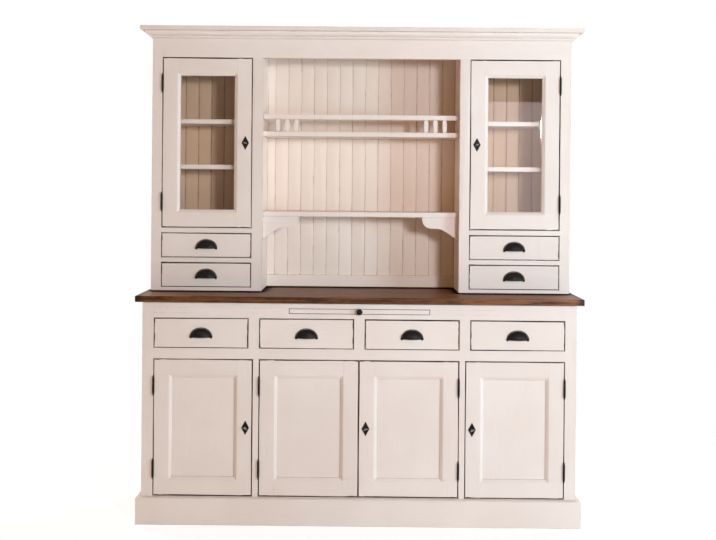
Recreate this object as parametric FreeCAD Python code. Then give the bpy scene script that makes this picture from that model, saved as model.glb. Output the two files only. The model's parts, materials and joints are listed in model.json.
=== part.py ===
import FreeCAD
import Part
import math
import os

# A painted buffet cabinet: a base with four drawers over four doors, a dark worktop with a pull-out
# board under it, and a shallower hutch with two glass doors, four small drawers and an open niche.
# Millimetres. X runs to the right, Y to the back and Z up. The origin lies on the floor, under the
# middle of the cabinet's width and depth.

Vector = FreeCAD.Vector

# Main sizes
DEPTH = 500.0
BODY_WIDTH = 1900.0
HUTCH_DEPTH = 292.0
WORKTOP_OVERHANG = 28.0
WORKTOP_THICKNESS = 27.5
WORKTOP_EDGE_RADIUS = 4.0

# Boards
FRAME_THICKNESS = 22.0
SIDE_THICKNESS = 20.0
BOARD_THICKNESS = 18.0
BACK_THICKNESS = 12.0
BACK_BOARD_PITCH = 61.5
FIRST_BACK_BOARD = 26.6
BACK_BOARD_CHAMFER = 2.2
BASE_BACK_BOARD_COUNT = 6

# Base, from the floor up
PLINTH_HEIGHT = 118.0
PLINTH_THICKNESS = 21.0
PLINTH_BEVEL_WIDTH = 8.0
PLINTH_BEVEL_HEIGHT = 4.5
BASE_SILL = 122.0
BASE_BOTTOM_RAIL = 82.0
BASE_DOOR_OPENING = 599.0
BASE_MIDDLE_RAIL = 48.0
BASE_DRAWER_OPENING = 131.0
BASE_TOP_RAIL = 70.0
CUPBOARD_SHELF_TOP = 420.0
CUPBOARD_SHELF_SETBACK = 24.0

# Base, from the middle out
MIDDLE_BAY_WIDTH = 876.0
BASE_INNER_STILE = 26.0
BASE_OUTER_STILE = 50.0
DRAWER_MULLION = 48.0

# Pull-out board and its slot in the top rail
SLOT_SILL = 22.5
SLOT_HEIGHT = 21.5
SLOT_WIDTH = 616.0
PULLOUT_DEPTH = 372.0
PULLOUT_SIDE_CLEARANCE = 0.8
SUPPORT_DEPTH = 400.0
CLEAT_WIDTH = 20.0
KEEPER_OVERLAP = 20.0
KEEPER_HEIGHT = 15.0
KNOB_RADIUS = 13.5
KNOB_REACH = 24.0
KNOB_STEM_RADIUS = 6.0
KNOB_STEM_LENGTH = 9.0
KNOB_EDGE = 4.0
KNOB_FACE_RADIUS = 8.0
KNOB_COLLAR_RADIUS = 9.0
KNOB_COLLAR = 2.5
KNOB_SIDES = 16

# Hutch, from the worktop up
HUTCH_FOOT_HEIGHT = 4.0
HUTCH_FOOT_SETBACK = 6.0
HUTCH_BOTTOM_RAIL = 18.5
HUTCH_DRAWER_OPENING = 111.0
HUTCH_DRAWER_RAIL = 23.0
HUTCH_DOOR_RAIL = 24.0
GLASS_DOOR_OPENING = 773.0
FRIEZE_HEIGHT = 87.0

# Hutch, from the middle out
NICHE_WIDTH = 896.0
HUTCH_INNER_STILE = 46.0
HUTCH_OUTER_STILE = 46.0

# Hutch shelves, measured up from the sill of the glass doors
CABINET_SHELF_THICKNESS = 21.0
LOWER_SHELF_RISE = 288.0
UPPER_SHELF_RISE = 496.0
CABINET_SHELF_SETBACK = 47.0

# Niche, measured up from the worktop
NICHE_SHELF_RISE = 345.5
NICHE_SHELF_THICKNESS = 22.0
RACK_SHELF_RISE = 712.5
RACK_SHELF_THICKNESS = 21.0
RACK_OPENING = 57.0
RACK_RAIL_HEIGHT = 22.0
RACK_RAIL_DEPTH = 18.0
SPINDLE_WIDTH = 20.0
SPINDLE_DEPTH = 12.0
SPINDLE_PITCH = 42.5
SPINDLE_END_SPACE = 66.0
SPINDLES_PER_SIDE = 3
NICHE_SHELF_SETBACK = 42.0
SKIRTING_HEIGHT = 56.5
SKIRTING_THICKNESS = 12.0

# Scroll brackets under the niche shelf
BRACKET_LENGTH = 165.0
BRACKET_THICKNESS = 22.0
BRACKET_SETBACK = 8.0
BRACKET_TIP = 9.0
BRACKET_LOBE_RADIUS = 43.0
BRACKET_LEVEL = 22.0
BRACKET_SWEEP_RADIUS = 73.0
BRACKET_SLOPE_DEG = 34.0

# Cornice profile, from the top down and from the frieze out
FASCIA_HEIGHT = 19.0
FASCIA_ROUND = 6.0
FASCIA_STEP = 14.0
FASCIA_FILLET = 3.0
OVOLO_RADIUS = 19.0
OVOLO_FILLET = 2.0
BEAD_RADIUS = 8.0
BEAD_STEP = 3.0

# Doors
DOOR_GAP = 2.5
DOOR_FLAT = 66.0
DOOR_BEVEL = 14.0
DOOR_BEVEL_DEPTH = 8.0
DOOR_LIP = 2.0
PANEL_GROOVE = 8.0
PANEL_THICKNESS = 8.0
GLASS_THICKNESS = 4.0

# Drawers
DRAWER_FRONT_THICKNESS = 20.0
DRAWER_SIDE_THICKNESS = 12.0
DRAWER_FLOOR_THICKNESS = 6.0
DRAWER_FLOOR_RISE = 8.0
DRAWER_HEADROOM = 8.0
BASE_DRAWER_BACK_SPACE = 20.0
HUTCH_DRAWER_BACK_SPACE = 10.0
GUIDE_HEIGHT = 20.0
SLIDE_CLEARANCE = 0.3
GUIDE_CLEARANCE = 0.5

# Finial hinges
HINGE_INSET = 115.0
HINGE_OFFSET = 5.0
KNUCKLE_RADIUS = 4.5
KNUCKLE_LENGTH = 35.0
KNUCKLE_CLEARANCE = 0.15
HINGE_PIN_RADIUS = 2.0
HINGE_PIN_LENGTH = 26.0
HINGE_BORE_CLEARANCE = 0.15
FINIAL_NECK_RADIUS = 2.4
FINIAL_NECK_RISE = 1.5
FINIAL_BULB_RADIUS = 3.7
FINIAL_BULB_RISE = 4.0
FINIAL_LENGTH = 10.0
LEAF_THICKNESS = 1.1
LEAF_REACH = 15.0
LEAF_END_SPACE = 2.5
HINGE_SIDES = 10

# Locks and keys
LOCK_BACKSET = 29.5
ESCUTCHEON_WIDTH = 34.0
ESCUTCHEON_HEIGHT = 64.0
ESCUTCHEON_THICKNESS = 1.6
KEY_SHANK_RADIUS = 2.8
KEY_BORE_CLEARANCE = 0.3
KEY_SHANK_REACH = 12.0
KEY_SHANK_SIDES = 12
KEY_BIT_REACH = 7.5
KEY_BIT_LENGTH = 6.0
KEY_BIT_THICKNESS = 2.4
KEY_TIP = 2.0
KEY_BOW_WIDTH = 23.0
KEY_BOW_LENGTH = 14.0
KEY_BOW_RIM = 3.4
KEY_BOW_THICKNESS = 3.2
KEY_BOW_TILT_DEG = 20.0
KEY_BOW_SIDES = 16
LOCK_POCKET_RADIUS = 9.0
LOCK_POCKET_WALL = 4.0
BOLT_LENGTH = 22.0
BOLT_HEIGHT = 12.0
BOLT_THICKNESS = 5.0
BOLT_SETBACK = 1.0
BOLT_CLEARANCE = 0.3
MORTISE_DEPTH = 12.0

# Cup pulls
PULL_WIDTH = 100.0
PULL_ARCH = 42.0
PULL_REACH = 24.0
PULL_RIM_WIDTH = 4.0
PULL_RIM_THICKNESS = 4.0
PULL_WALL = 3.0
PULL_LIP = 3.0
PULL_FOOT_RADIUS = 5.5
PULL_FOOT_THICKNESS = 7.0
PULL_SEGMENTS = 12
PULL_FOOT_SIDES = 8
HUTCH_PULL_RISE = 4.0
PULL_DEPTH_SHARES = (0.0, 0.45, 0.8, 1.0)
PULL_SPREAD_SHARES = (1.0, 0.9, 0.62, 0.25)

# How far a cutting shape runs past what it cuts
OVERRUN = 2.0

QUARTER_TURN_DEG = 90.0
EIGHTH_TURN_DEG = 45.0

# Planes across the depth
FRONT = -DEPTH / 2
BACK = DEPTH / 2
BASE_FACE = FRONT + WORKTOP_OVERHANG
HUTCH_FACE = BACK - HUTCH_DEPTH
BASE_INSIDE = BASE_FACE + FRAME_THICKNESS
HUTCH_INSIDE = HUTCH_FACE + FRAME_THICKNESS
BACK_BOARD_FACE = BACK - BACK_THICKNESS
NICHE_SHELF_FRONT = HUTCH_FACE + NICHE_SHELF_SETBACK
SUPPORT_BACK = BASE_INSIDE + SUPPORT_DEPTH

# Planes across the width
BODY_END = BODY_WIDTH / 2
INSIDE_END = BODY_END - SIDE_THICKNESS
BASE_OPENING_END = BODY_END - BASE_OUTER_STILE
MIDDLE_BAY_END = MIDDLE_BAY_WIDTH / 2
SIDE_BAY_START = MIDDLE_BAY_END + BASE_INNER_STILE
SIDE_DRAWER_START = MIDDLE_BAY_END + DRAWER_MULLION
MIDDLE_DRAWER_START = DRAWER_MULLION / 2
CUPBOARD_WALL_START = MIDDLE_BAY_END + (BASE_INNER_STILE - BOARD_THICKNESS) / 2
CUPBOARD_WALL_END = CUPBOARD_WALL_START + BOARD_THICKNESS
DRAWER_WALL_START = MIDDLE_BAY_END + (DRAWER_MULLION - BOARD_THICKNESS) / 2
DRAWER_WALL_END = DRAWER_WALL_START + BOARD_THICKNESS
CENTRE_WALL_END = BOARD_THICKNESS / 2
SLOT_END = SLOT_WIDTH / 2
NICHE_END = NICHE_WIDTH / 2
UPRIGHT_END = NICHE_END + BOARD_THICKNESS
HUTCH_OPENING_START = NICHE_END + HUTCH_INNER_STILE
HUTCH_OPENING_END = BODY_END - HUTCH_OUTER_STILE

# Levels
CUPBOARD_TOP = BASE_SILL + BASE_DOOR_OPENING
BASE_DRAWER_SILL = CUPBOARD_TOP + BASE_MIDDLE_RAIL
BASE_DRAWER_TOP = BASE_DRAWER_SILL + BASE_DRAWER_OPENING
BASE_TOP = BASE_DRAWER_TOP + BASE_TOP_RAIL
SLOT_BOTTOM = BASE_DRAWER_TOP + SLOT_SILL
SLOT_TOP = SLOT_BOTTOM + SLOT_HEIGHT
WORKTOP_TOP = BASE_TOP + WORKTOP_THICKNESS
HUTCH_BOTTOM = WORKTOP_TOP + HUTCH_FOOT_HEIGHT
LOWER_DRAWER_SILL = HUTCH_BOTTOM + HUTCH_BOTTOM_RAIL
LOWER_DRAWER_TOP = LOWER_DRAWER_SILL + HUTCH_DRAWER_OPENING
UPPER_DRAWER_SILL = LOWER_DRAWER_TOP + HUTCH_DRAWER_RAIL
UPPER_DRAWER_TOP = UPPER_DRAWER_SILL + HUTCH_DRAWER_OPENING
GLASS_SILL = UPPER_DRAWER_TOP + HUTCH_DOOR_RAIL
GLASS_TOP = GLASS_SILL + GLASS_DOOR_OPENING
CORNICE_HEIGHT = FASCIA_HEIGHT + FASCIA_FILLET + OVOLO_RADIUS + OVOLO_FILLET + BEAD_RADIUS
CORNICE_BOTTOM = GLASS_TOP + FRIEZE_HEIGHT
TOP = CORNICE_BOTTOM + CORNICE_HEIGHT

# Depths within a door's thickness, and the lock's places in it
DOOR_THICKNESS = FRAME_THICKNESS
DOOR_SIGHT = DOOR_FLAT + DOOR_BEVEL
GROOVE_START = DOOR_SIGHT - PANEL_GROOVE
GROOVE_FRONT = DOOR_BEVEL_DEPTH + DOOR_LIP
BOLT_FRONT = (DOOR_THICKNESS - BOLT_THICKNESS) / 2
CHANNEL_THICKNESS = BOLT_THICKNESS + 2 * BOLT_CLEARANCE
CHANNEL_HEIGHT = BOLT_HEIGHT + 2 * BOLT_CLEARANCE
POCKET_BACK = DOOR_THICKNESS - LOCK_POCKET_WALL


def board(x_span, y_span, z_span):
    """A plain board between the two ends of each span."""
    size = [high - low for low, high in (x_span, y_span, z_span)]
    corner = Vector(x_span[0], y_span[0], z_span[0])
    return Part.makeBox(size[0], size[1], size[2], corner)


def flat_face(points):
    return Part.Face(Part.makePolygon(points + points[:1]))


def prism(points, run):
    """A straight-sided outline carried along a run."""
    return flat_face(points).extrude(run)


def skin(sections):
    """A closed solid with flat sides, between outlines that have the same number of points each.

    An outline whose points all coincide makes a pointed end.
    """
    faces = []
    for first, second in zip(sections, sections[1:]):
        for place in range(len(first)):
            following = (place + 1) % len(first)
            corners = [first[place], first[following], second[following], second[place]]
            if first[place] == first[following]:
                corners = corners[1:]
            if second[place] == second[following]:
                corners = corners[:-1]
            faces.append(flat_face(corners))
    for end in (sections[0], sections[-1]):
        if end[0] != end[1]:
            faces.append(flat_face(end))
    solid = Part.makeSolid(Part.makeShell(faces))
    if solid.Volume < 0:
        solid.reverse()
    return solid.removeSplitter()


def turned(outline, sides):
    """A piece turned about the vertical axis, with flat sides, from an outline of radii and levels.

    The outline starts and ends with a radius of 0.
    """
    sections = []
    for radius, level in outline:
        section = []
        for step in range(sides):
            angle = 2 * math.pi * step / sides
            section.append(Vector(radius * math.cos(angle), radius * math.sin(angle), level))
        sections.append(section)
    return skin(sections)


def mirrored(solid):
    """The same piece on the other side of the middle of the cabinet."""
    return solid.mirror(Vector(0, 0, 0), Vector(1, 0, 0))


def on_both_sides(solids):
    return solids + [mirrored(solid) for solid in solids]


def moved(solid, x, y, z):
    copy = solid.copy()
    copy.translate(Vector(x, y, z))
    return copy


# Mouldings that run round the front and both sides

def wrapped_moulding(profile, reach, face):
    """A front length and two returns, mitred at the corners.

    The profile is a face in the YZ plane, with Y as the distance that it stands out from the carcass.
    """
    front = profile.mirror(Vector(0, 0, 0), Vector(0, 1, 0))
    front = moved(front, -BODY_END - reach, face, 0)
    front = front.extrude(Vector(BODY_WIDTH + 2 * reach, 0, 0))
    front_plan = [
        Vector(-BODY_END, face, -OVERRUN),
        Vector(-BODY_END - reach, face - reach, -OVERRUN),
        Vector(BODY_END + reach, face - reach, -OVERRUN),
        Vector(BODY_END, face, -OVERRUN),
    ]
    side = profile.rotate(Vector(0, 0, 0), Vector(0, 0, 1), -QUARTER_TURN_DEG)
    side = moved(side, BODY_END, face - reach, 0)
    side = side.extrude(Vector(0, BACK - face + reach, 0))
    side_plan = [
        Vector(BODY_END, face, -OVERRUN),
        Vector(BODY_END + reach, face - reach, -OVERRUN),
        Vector(BODY_END + reach, BACK, -OVERRUN),
        Vector(BODY_END, BACK, -OVERRUN),
    ]
    whole_height = Vector(0, 0, TOP + 2 * OVERRUN)
    front = front.common(prism(front_plan, whole_height))
    side = side.common(prism(side_plan, whole_height))
    return [front] + on_both_sides([side])


def plinth():
    outline = Part.makePolygon([
        Vector(0, 0, 0),
        Vector(0, PLINTH_THICKNESS, 0),
        Vector(0, PLINTH_THICKNESS, PLINTH_HEIGHT - PLINTH_BEVEL_HEIGHT),
        Vector(0, PLINTH_THICKNESS - PLINTH_BEVEL_WIDTH, PLINTH_HEIGHT),
        Vector(0, 0, PLINTH_HEIGHT),
        Vector(0, 0, 0),
    ])
    return wrapped_moulding(Part.Face(outline), PLINTH_THICKNESS, BASE_FACE)


def convex_quarter(centre_out, centre_up, radius):
    """Three points of a quarter round that bulges out and down, from its foot to its side."""
    points = []
    for degrees in (-QUARTER_TURN_DEG, -EIGHTH_TURN_DEG, 0):
        angle = math.radians(degrees)
        points.append(Vector(0, centre_out + radius * math.cos(angle), centre_up + radius * math.sin(angle)))
    return points


def cornice():
    """A round-nosed fascia over a quarter-round ovolo and a smaller bead."""
    bead_out = BEAD_STEP + BEAD_RADIUS
    ovolo_out = bead_out + OVOLO_RADIUS
    round_out = ovolo_out + FASCIA_STEP
    reach = round_out + FASCIA_ROUND
    bead_top = CORNICE_BOTTOM + BEAD_RADIUS
    ovolo_bottom = bead_top + OVOLO_FILLET
    ovolo_top = ovolo_bottom + OVOLO_RADIUS
    fascia_bottom = ovolo_top + FASCIA_FILLET

    bead = convex_quarter(BEAD_STEP, bead_top, BEAD_RADIUS)
    ovolo = convex_quarter(bead_out, ovolo_top, OVOLO_RADIUS)
    nose = convex_quarter(round_out, fascia_bottom + FASCIA_ROUND, FASCIA_ROUND)
    foot = Vector(0, 0, CORNICE_BOTTOM)
    step = Vector(0, ovolo_out, fascia_bottom)
    front_top = Vector(0, reach, TOP)
    back_top = Vector(0, 0, TOP)
    edges = [
        Part.makeLine(foot, bead[0]),
        Part.Arc(*bead).toShape(),
        Part.makeLine(bead[2], ovolo[0]),
        Part.Arc(*ovolo).toShape(),
        Part.makeLine(ovolo[2], step),
        Part.makeLine(step, nose[0]),
        Part.Arc(*nose).toShape(),
        Part.makeLine(nose[2], front_top),
        Part.makeLine(front_top, back_top),
        Part.makeLine(back_top, foot),
    ]
    return wrapped_moulding(Part.Face(Part.Wire(edges)), reach, HUTCH_FACE)


# Base carcass

def base_side_panels():
    return on_both_sides([
        board((INSIDE_END, BODY_END), (BASE_INSIDE, BACK), (0, BASE_TOP)),
    ])


def bolt_mortise(edge, direction, face, level):
    """The pocket that a bolt enters, cut into the edge of a stile."""
    inner = edge + direction * MORTISE_DEPTH
    outer = edge - direction * OVERRUN
    front = face + BOLT_FRONT - BOLT_CLEARANCE
    bottom = level - CHANNEL_HEIGHT / 2
    return board(
        (min(inner, outer), max(inner, outer)),
        (front, front + CHANNEL_THICKNESS),
        (bottom, bottom + CHANNEL_HEIGHT),
    )


def base_face_frame():
    depth = (BASE_FACE, BASE_INSIDE)
    across = (-BASE_OPENING_END, BASE_OPENING_END)
    lock_level = (BASE_SILL + CUPBOARD_TOP) / 2
    inner_stile = board((MIDDLE_BAY_END, SIDE_BAY_START), depth, (BASE_SILL, CUPBOARD_TOP))
    inner_stile = inner_stile.cut(bolt_mortise(SIDE_BAY_START, -1, BASE_FACE, lock_level))
    pairs = on_both_sides([
        board((BASE_OPENING_END, BODY_END), depth, (0, BASE_TOP)),
        inner_stile,
        board((MIDDLE_BAY_END, SIDE_DRAWER_START), depth, (BASE_DRAWER_SILL, BASE_DRAWER_TOP)),
        board((SLOT_END, BASE_OPENING_END), depth, (SLOT_BOTTOM, SLOT_TOP)),
    ])
    middle = [
        board(across, depth, (BASE_SILL - BASE_BOTTOM_RAIL, BASE_SILL)),
        board(across, depth, (CUPBOARD_TOP, BASE_DRAWER_SILL)),
        board((-MIDDLE_DRAWER_START, MIDDLE_DRAWER_START), depth, (BASE_DRAWER_SILL, BASE_DRAWER_TOP)),
        board(across, depth, (BASE_DRAWER_TOP, SLOT_BOTTOM)),
        board(across, depth, (SLOT_TOP, BASE_TOP)),
    ]
    return pairs + middle


def base_inner_boards():
    """Floor, dust board, partitions, cupboard shelves and the board that carries the pull-out board."""
    depth = (BASE_INSIDE, BACK_BOARD_FACE)
    across = (-INSIDE_END, INSIDE_END)
    dust_bottom = BASE_DRAWER_SILL - BOARD_THICKNESS
    support_bottom = SLOT_BOTTOM - BOARD_THICKNESS
    shelf_depth = (BASE_INSIDE + CUPBOARD_SHELF_SETBACK, BACK_BOARD_FACE)
    shelf_height = (CUPBOARD_SHELF_TOP - BOARD_THICKNESS, CUPBOARD_SHELF_TOP)
    pairs = on_both_sides([
        board((CUPBOARD_WALL_START, CUPBOARD_WALL_END), depth, (BASE_SILL, dust_bottom)),
        board((DRAWER_WALL_START, DRAWER_WALL_END), depth, (BASE_DRAWER_SILL, BASE_TOP)),
        board((CUPBOARD_WALL_END, INSIDE_END), shelf_depth, shelf_height),
    ])
    middle = [
        board(across, depth, (BASE_SILL - BOARD_THICKNESS, BASE_SILL)),
        board(across, depth, (dust_bottom, BASE_DRAWER_SILL)),
        board((-CENTRE_WALL_END, CENTRE_WALL_END), depth, (BASE_DRAWER_SILL, support_bottom)),
        board((-DRAWER_WALL_START, DRAWER_WALL_START), (BASE_INSIDE, SUPPORT_BACK),
              (support_bottom, SLOT_BOTTOM)),
        board((-CUPBOARD_WALL_START, CUPBOARD_WALL_START), shelf_depth, shelf_height),
    ]
    return pairs + middle


def base_back_boards():
    pitch = 2 * INSIDE_END / BASE_BACK_BOARD_COUNT
    boards = []
    for place in range(BASE_BACK_BOARD_COUNT):
        left = -INSIDE_END + place * pitch
        boards.append(board((left, left + pitch), (BACK_BOARD_FACE, BACK), (0, BASE_TOP)))
    return boards


def worktop():
    """A slab with its front and side edges rounded above and below."""
    end = BODY_END + WORKTOP_OVERHANG
    slab = board((-end, end), (FRONT, BACK), (BASE_TOP, WORKTOP_TOP))
    rounded = []
    for edge in slab.Edges:
        middle = edge.CenterOfMass
        is_level = abs(edge.BoundBox.ZLength) < WORKTOP_EDGE_RADIUS
        if is_level and middle.y < (FRONT + BACK) / 2 + WORKTOP_EDGE_RADIUS:
            rounded.append(edge)
    return [slab.makeFillet(WORKTOP_EDGE_RADIUS, rounded)]


# Drawers and the guides that steer them

# Each drawer has a name, its opening's left and right, sill and top, its face plane and the space behind it.
SIDE_DRAWER = (SIDE_DRAWER_START, BASE_OPENING_END)
MIDDLE_DRAWER = (MIDDLE_DRAWER_START, MIDDLE_BAY_END)
HUTCH_DRAWER = (HUTCH_OPENING_START, HUTCH_OPENING_END)
BASE_ROW = (BASE_DRAWER_SILL, BASE_DRAWER_TOP)
LOWER_ROW = (LOWER_DRAWER_SILL, LOWER_DRAWER_TOP)
UPPER_ROW = (UPPER_DRAWER_SILL, UPPER_DRAWER_TOP)


def opposite(span):
    return (-span[1], -span[0])


DRAWERS = [
    ("base_drawer_1", opposite(SIDE_DRAWER), BASE_ROW, BASE_FACE, BASE_DRAWER_BACK_SPACE),
    ("base_drawer_2", opposite(MIDDLE_DRAWER), BASE_ROW, BASE_FACE, BASE_DRAWER_BACK_SPACE),
    ("base_drawer_3", MIDDLE_DRAWER, BASE_ROW, BASE_FACE, BASE_DRAWER_BACK_SPACE),
    ("base_drawer_4", SIDE_DRAWER, BASE_ROW, BASE_FACE, BASE_DRAWER_BACK_SPACE),
    ("hutch_drawer_lower_left", opposite(HUTCH_DRAWER), LOWER_ROW, HUTCH_FACE, HUTCH_DRAWER_BACK_SPACE),
    ("hutch_drawer_lower_right", HUTCH_DRAWER, LOWER_ROW, HUTCH_FACE, HUTCH_DRAWER_BACK_SPACE),
    ("hutch_drawer_upper_left", opposite(HUTCH_DRAWER), UPPER_ROW, HUTCH_FACE, HUTCH_DRAWER_BACK_SPACE),
    ("hutch_drawer_upper_right", HUTCH_DRAWER, UPPER_ROW, HUTCH_FACE, HUTCH_DRAWER_BACK_SPACE),
]


def drawer_box(opening, row, face, back_space):
    """Front, two sides, back and a floor board that sits between them."""
    left = opening[0] + DOOR_GAP
    right = opening[1] - DOOR_GAP
    sill, top = row
    inside = face + DRAWER_FRONT_THICKNESS
    back = BACK_BOARD_FACE - back_space
    bottom = sill + SLIDE_CLEARANCE
    side_height = (bottom, top - DRAWER_HEADROOM)
    floor = bottom + DRAWER_FLOOR_RISE
    inner = (left + DRAWER_SIDE_THICKNESS, right - DRAWER_SIDE_THICKNESS)
    return [
        board((left, right), (face, inside), (sill + DOOR_GAP, top - DOOR_GAP)),
        board((left, inner[0]), (inside, back), side_height),
        board((inner[1], right), (inside, back), side_height),
        board(inner, (back - DRAWER_SIDE_THICKNESS, back), side_height),
        board(inner, (inside, back - DRAWER_SIDE_THICKNESS), (floor, floor + DRAWER_FLOOR_THICKNESS)),
    ]


def guides_beside(opening, walls, sill, inside):
    """A strip on each side of a drawer, from the carcass wall to the drawer's side."""
    left = opening[0] + DOOR_GAP - GUIDE_CLEARANCE
    right = opening[1] - DOOR_GAP + GUIDE_CLEARANCE
    depth = (inside, BACK_BOARD_FACE)
    height = (sill, sill + GUIDE_HEIGHT)
    return [
        board((walls[0], left), depth, height),
        board((right, walls[1]), depth, height),
    ]


def drawer_guides():
    """Guides for all drawers, and the cleats and keepers of the pull-out board."""
    guides = []
    guides += guides_beside(SIDE_DRAWER, (DRAWER_WALL_END, INSIDE_END), BASE_DRAWER_SILL, BASE_INSIDE)
    guides += guides_beside(
        MIDDLE_DRAWER, (CENTRE_WALL_END, DRAWER_WALL_START), BASE_DRAWER_SILL, BASE_INSIDE)
    for sill in (LOWER_DRAWER_SILL, UPPER_DRAWER_SILL):
        guides += guides_beside(HUTCH_DRAWER, (UPRIGHT_END, INSIDE_END), sill, HUTCH_INSIDE)
    depth = (BASE_INSIDE, SUPPORT_BACK)
    guides.append(board((SLOT_END, SLOT_END + CLEAT_WIDTH), depth, (SLOT_BOTTOM, SLOT_TOP)))
    guides.append(board(
        (SLOT_END - KEEPER_OVERLAP, SLOT_END + CLEAT_WIDTH), depth, (SLOT_TOP, SLOT_TOP + KEEPER_HEIGHT)))
    return on_both_sides(guides)


def pullout_board():
    end = SLOT_END - PULLOUT_SIDE_CLEARANCE
    height = (SLOT_BOTTOM + SLIDE_CLEARANCE, SLOT_TOP - SLIDE_CLEARANCE)
    return [board((-end, end), (BASE_FACE, BASE_FACE + PULLOUT_DEPTH), height)]


def pullout_knob():
    """A turned knob with a collar at its foot, a stem and a domed head."""
    outline = [
        (0, 0),
        (KNOB_COLLAR_RADIUS, 0),
        (KNOB_STEM_RADIUS, KNOB_COLLAR),
        (KNOB_STEM_RADIUS, KNOB_STEM_LENGTH),
        (KNOB_RADIUS, KNOB_STEM_LENGTH + KNOB_EDGE),
        (KNOB_RADIUS, KNOB_REACH - KNOB_EDGE),
        (KNOB_FACE_RADIUS, KNOB_REACH),
        (0, KNOB_REACH),
    ]
    knob = turned(outline, KNOB_SIDES)
    knob = knob.rotate(Vector(0, 0, 0), Vector(1, 0, 0), QUARTER_TURN_DEG)
    return [moved(knob, 0, BASE_FACE, (SLOT_BOTTOM + SLOT_TOP) / 2)]


# Cup pulls

def half_oval(half_width, height, y, drop):
    """The upper half of an oval in segments, with a straight edge at a drop under its middle line."""
    points = [Vector(half_width, y, -drop)]
    for step in range(PULL_SEGMENTS + 1):
        angle = math.pi * step / PULL_SEGMENTS
        points.append(Vector(half_width * math.cos(angle), y, height * math.sin(angle)))
    points.append(Vector(-half_width, y, -drop))
    return points


def dome(half_width, height, reach, drop, behind):
    """A quarter of a long ball: half ovals that shrink towards the front, with flat sides between."""
    sections = []
    if behind:
        sections.append(half_oval(half_width, height, behind, drop))
    for depth_share, spread_share in zip(PULL_DEPTH_SHARES, PULL_SPREAD_SHARES):
        sections.append(half_oval(
            half_width * spread_share, height * spread_share, -reach * depth_share, drop))
    return skin(sections)


def cup_pull():
    """A half dome, open below, with a raised rim round its arc and a round foot at each end."""
    half_width = PULL_WIDTH / 2
    dome_half = half_width - PULL_RIM_WIDTH
    dome_height = PULL_ARCH - PULL_RIM_WIDTH
    rim = prism(half_oval(half_width, PULL_ARCH, 0, PULL_LIP), Vector(0, -PULL_RIM_THICKNESS, 0))
    shell = dome(dome_half, dome_height, PULL_REACH, PULL_LIP, 0).fuse(rim)
    hollow = dome(dome_half - PULL_WALL, dome_height - PULL_WALL, PULL_REACH - PULL_WALL,
                  PULL_LIP + OVERRUN, OVERRUN)
    shell = shell.cut(hollow)
    foot_points = []
    for step in range(PULL_FOOT_SIDES):
        angle = 2 * math.pi * step / PULL_FOOT_SIDES
        foot_points.append(Vector(
            half_width - PULL_FOOT_RADIUS + PULL_FOOT_RADIUS * math.cos(angle), 0,
            PULL_FOOT_RADIUS * math.sin(angle)))
    foot = prism(foot_points, Vector(0, -PULL_FOOT_THICKNESS, 0))
    return shell.fuse(on_both_sides([foot])).removeSplitter()


def drawer_pull(opening, row, face):
    middle = (opening[0] + opening[1]) / 2
    lip = (row[0] + row[1]) / 2 - (PULL_ARCH - PULL_FOOT_RADIUS) / 2
    if face == HUTCH_FACE:
        lip += HUTCH_PULL_RISE
    return [moved(cup_pull(), middle, face, lip)]


# Doors, made as if hung on the left: x from the hinge edge, y back from the face, z from the bottom

DOORS = [
    ("base_door_1", -BASE_OPENING_END, -SIDE_BAY_START, "left", "lock"),
    ("base_door_2", -MIDDLE_BAY_END, 0.0, "left", "mortise"),
    ("base_door_3", 0.0, MIDDLE_BAY_END, "right", "lock"),
    ("base_door_4", SIDE_BAY_START, BASE_OPENING_END, "right", "lock"),
    ("glass_door_left", -HUTCH_OPENING_END, -HUTCH_OPENING_START, "left", "lock"),
    ("glass_door_right", HUTCH_OPENING_START, HUTCH_OPENING_END, "right", "lock"),
]


def is_glazed(name):
    return name.startswith("glass")


def door_place(name):
    """A door's width, its height, its hinge edge, its face plane and its bottom."""
    for door, left, right, hand, edge_work in DOORS:
        if door == name:
            break
    gaps = {left: DOOR_GAP, right: DOOR_GAP}
    gaps[0.0] = DOOR_GAP / 2
    inner_left = left + gaps[left]
    inner_right = right - gaps[right]
    hinge_edge = inner_left if hand == "left" else inner_right
    if is_glazed(name):
        face, sill, top = HUTCH_FACE, GLASS_SILL, GLASS_TOP
    else:
        face, sill, top = BASE_FACE, BASE_SILL, CUPBOARD_TOP
    height = top - sill - 2 * DOOR_GAP
    return inner_right - inner_left, height, hinge_edge, face, sill + DOOR_GAP, hand


def hung(solid, name):
    """Carry a piece from the left-hung door's own place to where its door hangs."""
    width, height, hinge_edge, face, bottom, hand = door_place(name)
    if hand == "right":
        solid = mirrored(solid)
    return moved(solid, hinge_edge, face, bottom)


def door_profile(glazed):
    """The members' section, as distances from the outer edge and depths behind the face."""
    rear = DOOR_THICKNESS if glazed else GROOVE_FRONT + PANEL_THICKNESS
    points = [
        (0, 0),
        (DOOR_FLAT, 0),
        (DOOR_SIGHT, DOOR_BEVEL_DEPTH),
        (DOOR_SIGHT, GROOVE_FRONT),
        (GROOVE_START, GROOVE_FRONT),
        (GROOVE_START, rear),
    ]
    if not glazed:
        points.append((DOOR_SIGHT, rear))
        points.append((DOOR_SIGHT, DOOR_THICKNESS))
    points.append((0, DOOR_THICKNESS))
    return points


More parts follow.
